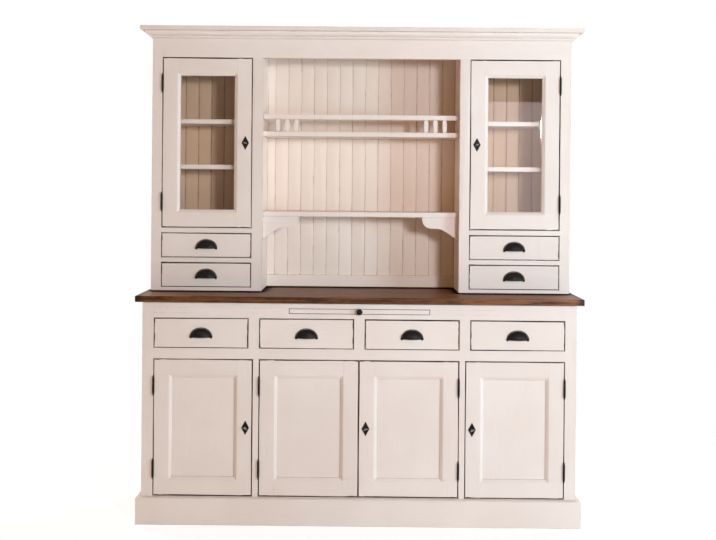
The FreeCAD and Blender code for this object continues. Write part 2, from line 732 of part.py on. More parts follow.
def door_members(width, height, glazed):
    """Two stiles and two rails, with the bevel inside them mitred at the corners."""
    profile = door_profile(glazed)
    flat = DOOR_FLAT
    sight = DOOR_SIGHT
    stile = prism([Vector(out, back, 0) for out, back in profile], Vector(0, 0, height))
    stile_outline = [
        (0, 0), (flat, 0), (flat, flat), (sight, sight),
        (sight, height - sight), (flat, height - flat), (flat, height), (0, height),
    ]
    rail = prism([Vector(0, back, out) for out, back in profile], Vector(width, 0, 0))
    rail_outline = [
        (flat, 0), (width - flat, 0), (width - flat, flat),
        (width - sight, sight), (sight, sight), (flat, flat),
    ]
    thickness = Vector(0, DOOR_THICKNESS, 0)
    stile = stile.common(prism([Vector(x, 0, z) for x, z in stile_outline], thickness))
    rail = rail.common(prism([Vector(x, 0, z) for x, z in rail_outline], thickness))
    free_stile = stile.mirror(Vector(width / 2, 0, 0), Vector(1, 0, 0))
    top_rail = rail.mirror(Vector(0, 0, height / 2), Vector(0, 0, 1))
    return stile, free_stile, rail, top_rail


def lock_cut(width, height):
    """Key bore, round pocket for the key's bit, and the channel of the bolt."""
    axis = width - LOCK_BACKSET
    middle = height / 2
    along = Vector(0, 1, 0)
    bore = Part.makeCylinder(
        KEY_SHANK_RADIUS + KEY_BORE_CLEARANCE, LOCK_POCKET_WALL + 2 * OVERRUN,
        Vector(axis, -OVERRUN, middle), along)
    pocket = Part.makeCylinder(
        LOCK_POCKET_RADIUS, POCKET_BACK - LOCK_POCKET_WALL, Vector(axis, LOCK_POCKET_WALL, middle), along)
    channel_front = BOLT_FRONT - BOLT_CLEARANCE
    channel = board(
        (axis, width + OVERRUN),
        (channel_front, channel_front + CHANNEL_THICKNESS),
        (middle - CHANNEL_HEIGHT / 2, middle + CHANNEL_HEIGHT / 2))
    return [bore, pocket, channel]


def glazing_beads(width, height):
    """Four strips that hold the pane in its rebate from behind."""
    depth = (GROOVE_FRONT + GLASS_THICKNESS, DOOR_THICKNESS)
    right = width - GROOVE_START
    top = height - GROOVE_START
    return [
        board((GROOVE_START, DOOR_SIGHT), depth, (GROOVE_START, top)),
        board((width - DOOR_SIGHT, right), depth, (GROOVE_START, top)),
        board((DOOR_SIGHT, width - DOOR_SIGHT), depth, (GROOVE_START, DOOR_SIGHT)),
        board((DOOR_SIGHT, width - DOOR_SIGHT), depth, (height - DOOR_SIGHT, top)),
    ]


def door_frame(name, edge_work):
    width, height = door_place(name)[:2]
    stile, free_stile, rail, top_rail = door_members(width, height, is_glazed(name))
    if edge_work == "lock":
        free_stile = free_stile.cut(lock_cut(width, height))
    else:
        free_stile = free_stile.cut(bolt_mortise(width, -1, 0, height / 2))
    members = [stile, free_stile, rail, top_rail]
    if is_glazed(name):
        members += glazing_beads(width, height)
    return [hung(member, name) for member in members]


def door_filling(name):
    """The flat wooden panel or the pane of glass, with its edges in the frame."""
    width, height = door_place(name)[:2]
    thickness = GLASS_THICKNESS if is_glazed(name) else PANEL_THICKNESS
    sheet = board(
        (GROOVE_START, width - GROOVE_START),
        (GROOVE_FRONT, GROOVE_FRONT + thickness),
        (GROOVE_START, height - GROOVE_START))
    return [hung(sheet, name)]


# Hinges, with the joint between the two halves at the level z = 0 of their own place

def hinge_levels(height):
    return (HINGE_INSET, height - HINGE_INSET)


def finial(direction):
    """Outline from a knuckle's end to the tip of its finial."""
    end = KNUCKLE_LENGTH
    return [
        (KNUCKLE_RADIUS, direction * end),
        (FINIAL_NECK_RADIUS, direction * (end + FINIAL_NECK_RISE)),
        (FINIAL_BULB_RADIUS, direction * (end + FINIAL_BULB_RISE)),
        (0, direction * (end + FINIAL_LENGTH)),
    ]


def door_hinge_half(level):
    """Upper knuckle with its bore, finial and leaf, which lies on the door's edge."""
    seat = KNUCKLE_CLEARANCE
    barrel = turned([(0, seat), (KNUCKLE_RADIUS, seat)] + finial(1), HINGE_SIDES)
    barrel = moved(barrel, -DOOR_GAP / 2, -HINGE_OFFSET, 0)
    leaf = board(
        (-LEAF_THICKNESS, 0), (-HINGE_OFFSET, LEAF_REACH), (LEAF_END_SPACE, KNUCKLE_LENGTH - LEAF_END_SPACE))
    bore_radius = HINGE_PIN_RADIUS + HINGE_BORE_CLEARANCE
    bore_end = HINGE_PIN_LENGTH + OVERRUN
    bore = turned([(0, -OVERRUN), (bore_radius, -OVERRUN), (bore_radius, bore_end), (0, bore_end)],
                  HINGE_SIDES)
    bore = moved(bore, -DOOR_GAP / 2, -HINGE_OFFSET, 0)
    return moved(barrel.fuse(leaf).cut(bore), 0, 0, level)


def frame_hinge_half(level):
    """Lower knuckle with the pin, finial and leaf, which lies on the edge of the opening."""
    seat = -KNUCKLE_CLEARANCE
    shaft = [(KNUCKLE_RADIUS, seat), (HINGE_PIN_RADIUS, seat), (HINGE_PIN_RADIUS, HINGE_PIN_LENGTH)]
    barrel = turned(list(reversed(finial(-1))) + shaft + [(0, HINGE_PIN_LENGTH)], HINGE_SIDES)
    barrel = moved(barrel, -DOOR_GAP / 2, -HINGE_OFFSET, 0)
    leaf = board(
        (-DOOR_GAP, -DOOR_GAP + LEAF_THICKNESS), (-HINGE_OFFSET, LEAF_REACH),
        (LEAF_END_SPACE - KNUCKLE_LENGTH, -LEAF_END_SPACE))
    return moved(barrel.fuse(leaf), 0, 0, level)


def hinge_frame_halves():
    halves = []
    for name, left, right, hand, edge_work in DOORS:
        height = door_place(name)[1]
        for level in hinge_levels(height):
            halves.append(hung(frame_hinge_half(level), name))
    return halves


def escutcheon(width, height):
    """A thin diamond plate with the keyhole through it."""
    axis = width - LOCK_BACKSET
    middle = height / 2
    reach = ESCUTCHEON_WIDTH / 2
    rise = ESCUTCHEON_HEIGHT / 2
    corners = [
        Vector(axis, 0, middle - rise),
        Vector(axis + reach, 0, middle),
        Vector(axis, 0, middle + rise),
        Vector(axis - reach, 0, middle),
    ]
    plate = prism(corners, Vector(0, -ESCUTCHEON_THICKNESS, 0))
    hole = Part.makeCylinder(
        KEY_SHANK_RADIUS + KEY_BORE_CLEARANCE, ESCUTCHEON_THICKNESS + 2 * OVERRUN,
        Vector(axis, OVERRUN, middle), Vector(0, -1, 0))
    return plate.cut(hole)


def door_ironwork(name, edge_work):
    width, height = door_place(name)[:2]
    pieces = [door_hinge_half(level) for level in hinge_levels(height)]
    if edge_work == "lock":
        pieces.append(escutcheon(width, height))
    return [hung(piece, name) for piece in pieces]


# Keys and bolts

def oval(half_width, half_length, middle, level):
    points = []
    for step in range(KEY_BOW_SIDES):
        angle = 2 * math.pi * step / KEY_BOW_SIDES
        points.append(Vector(
            half_width * math.cos(angle), middle + half_length * math.sin(angle), level))
    return points


def key(name):
    """A bow whose plane holds the shank, and a bit that lies in the same plane."""
    width, height = door_place(name)[:2]
    half_width = KEY_BOW_WIDTH / 2
    half_length = KEY_BOW_LENGTH / 2
    bow_middle = -KEY_SHANK_REACH - half_length + KEY_BOW_RIM / 2
    low = -KEY_BOW_THICKNESS / 2
    up = Vector(0, 0, KEY_BOW_THICKNESS)
    bow = prism(oval(half_width, half_length, bow_middle, low), up)
    eye = prism(oval(half_width - KEY_BOW_RIM, half_length - KEY_BOW_RIM, bow_middle, low), up)
    bit_back = POCKET_BACK - KEY_TIP
    shank = turned(
        [(0, -bit_back), (KEY_SHANK_RADIUS, -bit_back), (KEY_SHANK_RADIUS, KEY_SHANK_REACH),
         (0, KEY_SHANK_REACH)], KEY_SHANK_SIDES)
    shank = shank.rotate(Vector(0, 0, 0), Vector(1, 0, 0), QUARTER_TURN_DEG)
    bit = board(
        (-KEY_BIT_REACH, 0), (bit_back - KEY_BIT_LENGTH, bit_back),
        (-KEY_BIT_THICKNESS / 2, KEY_BIT_THICKNESS / 2))
    whole = bow.cut(eye).fuse([shank, bit]).removeSplitter()
    whole = whole.rotate(Vector(0, 0, 0), Vector(0, 1, 0), KEY_BOW_TILT_DEG)
    return [hung(moved(whole, width - LOCK_BACKSET, 0, height / 2), name)]


def lock_bolt(name):
    """The bolt at rest just inside the door's edge, drawn back."""
    width, height = door_place(name)[:2]
    end = width - BOLT_SETBACK
    middle = height / 2
    bolt = board(
        (end - BOLT_LENGTH, end), (BOLT_FRONT, BOLT_FRONT + BOLT_THICKNESS),
        (middle - BOLT_HEIGHT / 2, middle + BOLT_HEIGHT / 2))
    return [hung(bolt, name)]


# Hutch carcass

def hutch_upright_panels():
    return on_both_sides([
        board((INSIDE_END, BODY_END), (HUTCH_INSIDE, BACK), (HUTCH_BOTTOM, TOP)),
        board((NICHE_END, UPRIGHT_END), (HUTCH_INSIDE, BACK_BOARD_FACE), (HUTCH_BOTTOM, TOP - BOARD_THICKNESS)),
    ])


def hutch_feet():
    """Thin boards set in from the faces, on which the hutch stands a little off the worktop."""
    side = (NICHE_END + HUTCH_FOOT_SETBACK, BODY_END - HUTCH_FOOT_SETBACK)
    level = (WORKTOP_TOP, HUTCH_BOTTOM)
    skirting_face = BACK_BOARD_FACE - SKIRTING_THICKNESS
    pair = on_both_sides([board(side, (HUTCH_FACE + HUTCH_FOOT_SETBACK, BACK), level)])
    return pair + [board((-side[0], side[0]), (skirting_face + HUTCH_FOOT_SETBACK, BACK), level)]


def hutch_level_boards():
    """The feet, the top, the boards under and over the drawers, and the shelves behind the glass."""
    span = (UPRIGHT_END, INSIDE_END)
    depth = (HUTCH_INSIDE, BACK_BOARD_FACE)
    shelf_depth = (HUTCH_FACE + CABINET_SHELF_SETBACK, BACK_BOARD_FACE)
    boards = []
    for top in (LOWER_DRAWER_SILL, UPPER_DRAWER_SILL, GLASS_SILL):
        boards.append(board(span, depth, (top - BOARD_THICKNESS, top)))
    for rise in (LOWER_SHELF_RISE, UPPER_SHELF_RISE):
        shelf_top = GLASS_SILL + rise
        boards.append(board(span, shelf_depth, (shelf_top - CABINET_SHELF_THICKNESS, shelf_top)))
    top_board = board((-INSIDE_END, INSIDE_END), depth, (TOP - BOARD_THICKNESS, TOP))
    return on_both_sides(boards) + [top_board] + hutch_feet()


def hutch_face_frame():
    depth = (HUTCH_FACE, HUTCH_INSIDE)
    opening = (HUTCH_OPENING_START, HUTCH_OPENING_END)
    lock_level = (GLASS_SILL + GLASS_TOP) / 2
    inner_stile = board((NICHE_END, HUTCH_OPENING_START), depth, (HUTCH_BOTTOM, GLASS_TOP))
    inner_stile = inner_stile.cut(bolt_mortise(HUTCH_OPENING_START, -1, HUTCH_FACE, lock_level))
    pairs = on_both_sides([
        board((HUTCH_OPENING_END, BODY_END), depth, (HUTCH_BOTTOM, TOP)),
        inner_stile,
        board(opening, depth, (HUTCH_BOTTOM, LOWER_DRAWER_SILL)),
        board(opening, depth, (LOWER_DRAWER_TOP, UPPER_DRAWER_SILL)),
        board(opening, depth, (UPPER_DRAWER_TOP, GLASS_SILL)),
    ])
    frieze = board((-HUTCH_OPENING_END, HUTCH_OPENING_END), depth, (GLASS_TOP, TOP))
    return pairs + [frieze]


def hutch_back_boards():
    """Upright boards with chamfered front edges, and the skirting at the foot of the niche."""
    boards = []
    left = -INSIDE_END
    right = left + FIRST_BACK_BOARD
    chamfer = BACK_BOARD_CHAMFER
    while left < INSIDE_END:
        outline = [
            Vector(left, BACK, HUTCH_BOTTOM),
            Vector(left, BACK_BOARD_FACE + chamfer, HUTCH_BOTTOM),
            Vector(left + chamfer, BACK_BOARD_FACE, HUTCH_BOTTOM),
            Vector(right - chamfer, BACK_BOARD_FACE, HUTCH_BOTTOM),
            Vector(right, BACK_BOARD_FACE + chamfer, HUTCH_BOTTOM),
            Vector(right, BACK, HUTCH_BOTTOM),
        ]
        boards.append(prism(outline, Vector(0, 0, TOP - HUTCH_BOTTOM)))
        left = right
        right = min(left + BACK_BOARD_PITCH, INSIDE_END)
    skirting = board(
        (-NICHE_END, NICHE_END), (BACK_BOARD_FACE - SKIRTING_THICKNESS, BACK_BOARD_FACE),
        (HUTCH_BOTTOM, HUTCH_BOTTOM + SKIRTING_HEIGHT))
    return boards + [skirting]


def scroll_bracket(shelf_bottom):
    """A lobe at the tip, a short level run and a sweep down to the wall."""
    tip = NICHE_END - BRACKET_LENGTH
    front = NICHE_SHELF_FRONT + BRACKET_SETBACK
    lobe = BRACKET_LOBE_RADIUS
    sweep = BRACKET_SWEEP_RADIUS
    slope = math.radians(BRACKET_SLOPE_DEG)
    lobe_top = shelf_bottom - BRACKET_TIP
    level = lobe_top - lobe
    sweep_start = tip + lobe + BRACKET_LEVEL
    sweep_end = sweep_start + sweep * math.sin(slope)
    sweep_level = level - sweep * (1 - math.cos(slope))
    foot = sweep_level - (NICHE_END - sweep_end) * math.tan(slope)

    def at(x, z):
        return Vector(x, front, z)

    lobe_middle = at(tip + lobe * (1 - math.cos(math.pi / 4)), lobe_top - lobe * math.sin(math.pi / 4))
    sweep_middle = at(
        sweep_start + sweep * math.sin(slope / 2), level - sweep * (1 - math.cos(slope / 2)))
    edges = [
        Part.makeLine(at(tip, shelf_bottom), at(tip, lobe_top)),
        Part.Arc(at(tip, lobe_top), lobe_middle, at(tip + lobe, level)).toShape(),
        Part.makeLine(at(tip + lobe, level), at(sweep_start, level)),
        Part.Arc(at(sweep_start, level), sweep_middle, at(sweep_end, sweep_level)).toShape(),
        Part.makeLine(at(sweep_end, sweep_level), at(NICHE_END, foot)),
        Part.makeLine(at(NICHE_END, foot), at(NICHE_END, shelf_bottom)),
        Part.makeLine(at(NICHE_END, shelf_bottom), at(tip, shelf_bottom)),
    ]
    return Part.Face(Part.Wire(edges)).extrude(Vector(0, BRACKET_THICKNESS, 0))


def niche_shelves():
    """The plate rack with its rail and spindles, and the lower shelf on its scroll brackets."""
    span = (-NICHE_END, NICHE_END)
    depth = (NICHE_SHELF_FRONT, BACK_BOARD_FACE)
    shelf_bottom = WORKTOP_TOP + NICHE_SHELF_RISE
    rack_bottom = WORKTOP_TOP + RACK_SHELF_RISE
    rack_top = rack_bottom + RACK_SHELF_THICKNESS
    rail_bottom = rack_top + RACK_OPENING
    rail_depth = (NICHE_SHELF_FRONT, NICHE_SHELF_FRONT + RACK_RAIL_DEPTH)
    spindle_front = NICHE_SHELF_FRONT + (RACK_RAIL_DEPTH - SPINDLE_DEPTH) / 2
    paired = [scroll_bracket(shelf_bottom)]
    for place in range(SPINDLES_PER_SIDE):
        middle = NICHE_END - SPINDLE_END_SPACE - place * SPINDLE_PITCH
        paired.append(board(
            (middle - SPINDLE_WIDTH / 2, middle + SPINDLE_WIDTH / 2),
            (spindle_front, spindle_front + SPINDLE_DEPTH),
            (rack_top, rail_bottom)))
    return on_both_sides(paired) + [
        board(span, depth, (shelf_bottom, shelf_bottom + NICHE_SHELF_THICKNESS)),
        board(span, depth, (rack_bottom, rack_top)),
        board(span, rail_depth, (rail_bottom, rail_bottom + RACK_RAIL_HEIGHT)),
    ]


def all_nodes():
    """Every sub-part's name with its solids."""
    nodes = {
        "base_plinth": plinth(),
        "base_side_panels": base_side_panels(),
        "base_inner_boards": base_inner_boards(),
        "base_back_boards": base_back_boards(),
        "base_face_frame": base_face_frame(),
        "drawer_guides": drawer_guides(),
        "worktop": worktop(),
        "hutch_upright_panels": hutch_upright_panels(),
        "hutch_level_boards": hutch_level_boards(),
        "hutch_face_frame": hutch_face_frame(),
        "hutch_back_boards": hutch_back_boards(),
        "cornice": cornice(),
        "niche_shelves": niche_shelves(),
        "hinge_frame_halves": hinge_frame_halves(),
        "pullout_board": pullout_board(),
        "pullout_knob": pullout_knob(),
    }
    for name, left, right, hand, edge_work in DOORS:
        nodes[name + "_frame"] = door_frame(name, edge_work)
        nodes[name + ("_pane" if is_glazed(name) else "_panel")] = door_filling(name)
        nodes[name + "_ironwork"] = door_ironwork(name, edge_work)
        if edge_work == "lock":
            nodes[name + "_key"] = key(name)
            nodes[name + "_bolt"] = lock_bolt(name)
    for name, opening, row, face, back_space in DRAWERS:
        nodes[name] = drawer_box(opening, row, face, back_space)
        nodes[name + "_pull"] = drawer_pull(opening, row, face)
    return nodes


os.makedirs("parts", exist_ok=True)
for node, pieces in all_nodes().items():
    shape = pieces[0] if len(pieces) == 1 else Part.makeCompound(pieces)
    shape.exportStep(os.path.join("parts", node + ".step"))
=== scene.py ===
import json
import math

import bpy
import bmesh
from mathutils import Matrix, Vector


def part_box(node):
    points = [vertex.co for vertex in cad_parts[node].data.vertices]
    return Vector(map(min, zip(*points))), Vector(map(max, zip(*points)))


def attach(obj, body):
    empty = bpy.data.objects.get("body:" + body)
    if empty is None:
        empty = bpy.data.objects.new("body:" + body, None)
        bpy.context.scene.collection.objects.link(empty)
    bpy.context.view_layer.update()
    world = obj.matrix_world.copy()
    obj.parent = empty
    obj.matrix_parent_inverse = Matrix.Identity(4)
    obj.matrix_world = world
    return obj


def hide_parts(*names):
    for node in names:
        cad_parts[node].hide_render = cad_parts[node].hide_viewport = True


# Looks of the painted buffet cabinet. Metres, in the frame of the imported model: x runs to the right,
# y to the back and z up from the floor.

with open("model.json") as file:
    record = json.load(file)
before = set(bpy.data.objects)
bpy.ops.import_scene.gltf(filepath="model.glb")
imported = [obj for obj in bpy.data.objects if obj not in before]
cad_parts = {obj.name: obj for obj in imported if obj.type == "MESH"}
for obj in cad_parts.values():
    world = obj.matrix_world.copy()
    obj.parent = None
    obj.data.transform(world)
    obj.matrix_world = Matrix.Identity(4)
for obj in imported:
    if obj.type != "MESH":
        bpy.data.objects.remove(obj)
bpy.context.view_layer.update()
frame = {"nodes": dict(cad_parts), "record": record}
body_of_node = {}
for body, members in frame["record"]["behaviour"]["bodies"].items():
    for member in members:
        body_of_node[member] = body
slot_of_node = {row["node"]: row["material_slot"] for row in frame["record"]["subparts"]}


def linear(red, green, blue):
    """A screen colour, from 0 to 255, as the light values that shaders use, by the usual screen curve."""
    values = []
    for value in (red, green, blue):
        share = value / 255
        values.append(share / 12.92 if share <= 0.04045 else ((share + 0.055) / 1.055) ** 2.4)
    return (*values, 1.0)


# Colours
WHITE = (1.0, 1.0, 1.0, 1.0)
CREAM = linear(233, 217, 209)
CREAM_PALE = linear(238, 224, 217)
CREAM_DULL = linear(224, 206, 196)
PLAIN_TINT = WHITE
NICHE_TINT = (1.065, 1.03, 0.965, 1.0)
# Painted light: the walls of the open niche are painted paler than the rest of the paint
WALL_PAINTED_LIGHT = (1.14, 1.10, 1.04, 1.0)
# Inside the glazed cupboards the back boards are tan with age, and this tint also paints in their shade
CUPBOARD_TAN_AND_SHADE = (0.99, 0.81, 0.57, 1.0)
WAX = linear(122, 84, 58)
PAINTED_SHADE_COLOUR = linear(60, 33, 22)
BARE_WOOD = linear(112, 76, 48)
BARE_WOOD_DARK = linear(66, 42, 28)
TOP_LIGHT = linear(126, 78, 44)
TOP_DARK = linear(66, 36, 19)
TOP_LINE = linear(28, 14, 8)
TOP_PAINTED_LIGHT = (1.65, 1.85, 1.9)
TOP_RIGHT_LIGHT = linear(158, 104, 74)
IRON = linear(19, 14, 13)
IRON_WORN = linear(60, 49, 43)
IRON_RUBBED_HIGHLIGHT = linear(150, 139, 133)
STEEL = linear(168, 160, 154)
STEEL_DARK = linear(84, 78, 74)
GLASS_SHEEN = linear(176, 172, 168)

# Patterns on the surfaces: scale, detail, roughness and distortion of their noise
NOISES = {
    "paint_clouds": (3.0, 3.0, 0.5, 0.0),
    "brush_marks": (16.0, 5.0, 0.6, 0.0),
    "worn_patches": (9.0, 4.0, 0.65, 0.0),
    "chips": (120.0, 3.0, 0.6, 0.0),
    "fleck_areas": (5.0, 2.0, 0.5, 0.0),
    "flecks": (60.0, 3.0, 0.7, 0.0),
    "bare_grain": (24.0, 2.0, 0.5, 0.0),
    "dirt_streaks": (2.5, 3.0, 0.5, 0.0),
    "paint_sheen": (40.0, 3.0, 0.5, 0.0),
    "broad_grain": (5.0, 4.0, 0.6, 0.6),
    "fine_grain": (30.0, 5.0, 0.7, 0.3),
    "worn_rim": (30.0, 3.0, 0.5, 0.0),
    "iron_mottle": (180.0, 4.0, 0.6, 0.0),
    "steel_mottle": (220.0, 4.0, 0.6, 0.0),
    "glass_ripple": (3.0, 1.0, 0.5, 0.0),
}

# Where each effect begins and where it is whole, in terms of the value that drives it
RAMPS = {
    "paint_clouds": (0.35, 0.70),
    "brush_marks": (0.45, 0.80),
    "worn_patches": (0.48, 0.64),
    "chips": (0.39, 0.53),
    "fleck_areas": (0.50, 0.72),
    "flecks": (0.70, 0.76),
    "edge": (0.01, 0.22),
    "wax_corners": (0.32, 0.50),
    "wax_streaks": (0.38, 0.60),
    "gap_sides": (0.01, 0.05),
    "gap_streaks": (0.26, 0.42),
    "shaded_corners": (0.50, 0.72),
    "rim": (-0.0004, 0.0004),
    "board_tones": (0.32, 0.68),
    "grain_lines": (0.45, 0.68),
    "worn_rim": (0.45, 0.60),
    "facing_up": (0.50, 0.90),
    "right_light_boards": (0.30, 0.60),
    "shade_strip": (0.14, 0.30),
    "iron_wear": (0.45, 0.75),
    "iron_highlight": (0.30, 0.55),
    "steel_tones": (0.35, 0.70),
}

# For each surface, the least roughness and how much its pattern adds
ROUGHNESS = {"paint": (0.42, 0.16), "worktop": (0.30, 0.20), "iron": (0.30, 0.25), "steel": (0.25, 0.30)}
# Strength and depth of the bumps
BUMPS = {
    "paint": (0.25, 0.0006), "worktop": (0.35, 0.0008), "iron": (0.30, 0.0005), "steel": (0.20, 0.0003),
    "glass": (0.05, 0.002),
}
# How far rubbed edges and dirty corners reach
EDGE_REACH = {"paint": 0.0035, "worktop": 0.003, "iron": 0.0012}
CORNER_REACH = {"paint": 0.005, "worktop": 0.06}
# How strongly a surface mirrors
MIRRORING = {"paint": 0.3, "worktop": 0.1, "iron": 0.1}

# How much of the colour underneath each effect hides
BRUSH_SHARE = 0.30
BOARD_TONE_SHARE = 0.25
FLECK_SHARE = 0.6
WAX_SHARE = 0.75
GRAIN_LINE_SHARE = 0.85
WORN_RIM_SHARE = 0.45
RIGHT_LIGHT_SHARE = 0.6
DARK_END_SHARE = 0.8
IRON_EDGE_SHARE = 0.4

# A board's seed shifts its pattern, in depth by this much more, and gives the board a tone of its own
SEED_SIDE_SHARE = 1.7
SEED_TONE_STEP = 0.618
# How far brush marks stand out in the bumps, the mean of a noise, and how squarely a face looks back
BRUSH_HEIGHT = 0.5
NOISE_MIDDLE = 0.5
FACING_BACK = 0.5
# Rays for each look at edges and corners
BEVEL_SAMPLES = 4
CORNER_SAMPLES = 6
# The colour sockets of a mix node
MIX_FIRST = 6
MIX_SECOND = 7
MIX_RESULT = 2

# Painted shade in dark lines: a strip at the hutch's foot, and a band round each door and drawer front
FOOT_SHADE = 0.002
RIM_SHADE_WIDTH = 0.0020
RIM_SHADE_SPREAD = 0.008

# Painted light: the worktop is painted paler towards its right, from the first of these places, and its
# ends are dark
RIGHT_LIGHT_START = 0.1
DARK_END_START = 0.045
DARK_END_WHOLE = 0.008

GLASS_HAZE = 0.025
GLASS_IOR = 1.35
GLASS_ROUGHNESS = 0.02

# Edges
ARRIS = 0.0019
ARRIS_SEGMENTS = 2
ROUND_PROFILE = 0.5
SHARP_ANGLE = math.radians(20)
BEVEL_ANGLE = math.radians(25)
FLAT_ANGLE = math.radians(0.5)
POINT_STEP = 1e-5
JOINT_REACH = 0.0002
QUARTER_TURN = math.pi / 2

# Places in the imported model
NICHE_MARGIN = 0.005
niche_half_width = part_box("niche_shelves")[1][0] + NICHE_MARGIN
worktop_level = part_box("worktop")[1][2]
worktop_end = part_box("worktop")[1][0]
hutch_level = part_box("hutch_back_boards")[0][2]


# Node trees

class Shader:
    """The node tree of a material or a world: nodes are made by kind and joined by name."""

    def __init__(self, holder, output_kind="OutputMaterial"):
        holder.use_nodes = True
        self.holder = holder
        self.tree = holder.node_tree
        self.tree.nodes.clear()
        self.output = self.add(output_kind)

    def add(self, kind, settings=None, inputs=None):
        node = self.tree.nodes.new("ShaderNode" + kind)
        for key, value in (settings or {}).items():
            setattr(node, key, value)
        for key, value in (inputs or {}).items():
            self.feed(node.inputs[key], value)
        return node

    def feed(self, socket, value):
        if isinstance(value, bpy.types.NodeSocket):
            self.tree.links.new(value, socket)
        else:
            socket.default_value = value

    def math(self, operation, first, second=0.0, clamp=False):
        node = self.add("Math", {"operation": operation, "use_clamp": clamp}, {0: first, 1: second})
        return node.outputs[0]

    def times(self, first, second):
        return self.math("MULTIPLY", first, second)

    def larger(self, first, second, clamp=False):
        return self.math("MAXIMUM", first, second, clamp)

    def vector(self, operation, first, second, output=0):
        node = self.add("VectorMath", {"operation": operation}, {0: first, 1: second})
        return node.outputs[output]

    def axes(self, vector):
        return self.add("SeparateXYZ", None, {0: vector}).outputs

    def place(self):
        return self.add("TexCoord").outputs["Object"]

    def face_normal(self):
        return self.add("NewGeometry").outputs["True Normal"]

    def attribute(self, name, output="Fac"):
        return self.add("Attribute", {"attribute_name": name}).outputs[output]

    def mix(self, share, first, second):
        node = self.add(
            "Mix", {"data_type": "RGBA"}, {"Factor": share, MIX_FIRST: first, MIX_SECOND: second})
        return node.outputs[MIX_RESULT]

    def noise(self, coordinates, name):
        scale, detail, roughness, distortion = NOISES[name]
        node = self.add("TexNoise", None, {
            "Vector": coordinates, "Scale": scale, "Detail": detail, "Roughness": roughness,
            "Distortion": distortion})
        return node.outputs["Fac"]

    def step(self, value, low, high):
        """0 below low, 1 above high and a smooth rise between them."""
        node = self.add("MapRange", {"interpolation_type": "SMOOTHSTEP", "clamp": True}, {
            "Value": value, "From Min": low, "From Max": high, "To Min": 0.0, "To Max": 1.0})
        return node.outputs[0]

    def ramp(self, value, name):
        return self.step(value, *RAMPS[name])

    def roughness(self, pattern, name):
        least, spread = ROUGHNESS[name]
        return self.math("ADD", least, self.times(pattern, spread))

    def bump(self, height, name):
        strength, depth = BUMPS[name]
        node = self.add("Bump", None, {"Strength": strength, "Distance": depth, "Height": height})
        return node.outputs[0]

    def finish(self, surface):
        self.feed(self.output.inputs["Surface"], surface)
        return self.holder


def new_surface(name):
    return Shader(bpy.data.materials.new(name))


def board_coordinates(shader):
    """Places in metres, the same drawn out along each board and shifted by its seed, and the seed."""
    place = shader.place()
    seed = shader.attribute("board_seed")
    shift = shader.add("CombineXYZ", None, {"X": seed, "Y": shader.times(seed, SEED_SIDE_SHARE), "Z": seed})
    stretched = shader.vector("MULTIPLY", place, shader.attribute("along", "Vector"))
    return place, shader.vector("ADD", stretched, shift.outputs[0]), seed


def edge_nearness(shader, reach):
    """From 0 on flat faces to 1 at the very edge of a board."""
    rounded = shader.add("Bevel", {"samples": BEVEL_SAMPLES}, {"Radius": reach}).outputs[0]
    agreement = shader.vector("DOT_PRODUCT", rounded, shader.face_normal(), output="Value")
    return shader.ramp(shader.math("SUBTRACT", 1.0, agreement), "edge")


def corner_depth(shader, reach):
    """From 0 on open faces to 1 deep in a groove or an inner corner."""
    node = shader.add("AmbientOcclusion", {"samples": CORNER_SAMPLES}, {"Distance": reach})
    return shader.math("SUBTRACT", 1.0, node.outputs["AO"], clamp=True)


def rim_shade(shader, place, streaks):
    """Painted shade: 1 along the outer edges of a door or drawer front, in a band of uneven width, and 0
    elsewhere.
    """
    from_low = shader.vector("SUBTRACT", place, shader.attribute("front_low", "Vector"))
    from_high = shader.vector("SUBTRACT", shader.attribute("front_high", "Vector"), place)
    sides = shader.axes(shader.vector("MINIMUM", from_low, from_high))
    distance = shader.math("MINIMUM", sides["X"], sides["Z"])
    uneven = shader.times(shader.math("SUBTRACT", streaks, NOISE_MIDDLE), RIM_SHADE_SPREAD)
    width = shader.math("ADD", RIM_SHADE_WIDTH, uneven)
    return shader.ramp(shader.math("SUBTRACT", width, distance), "rim")


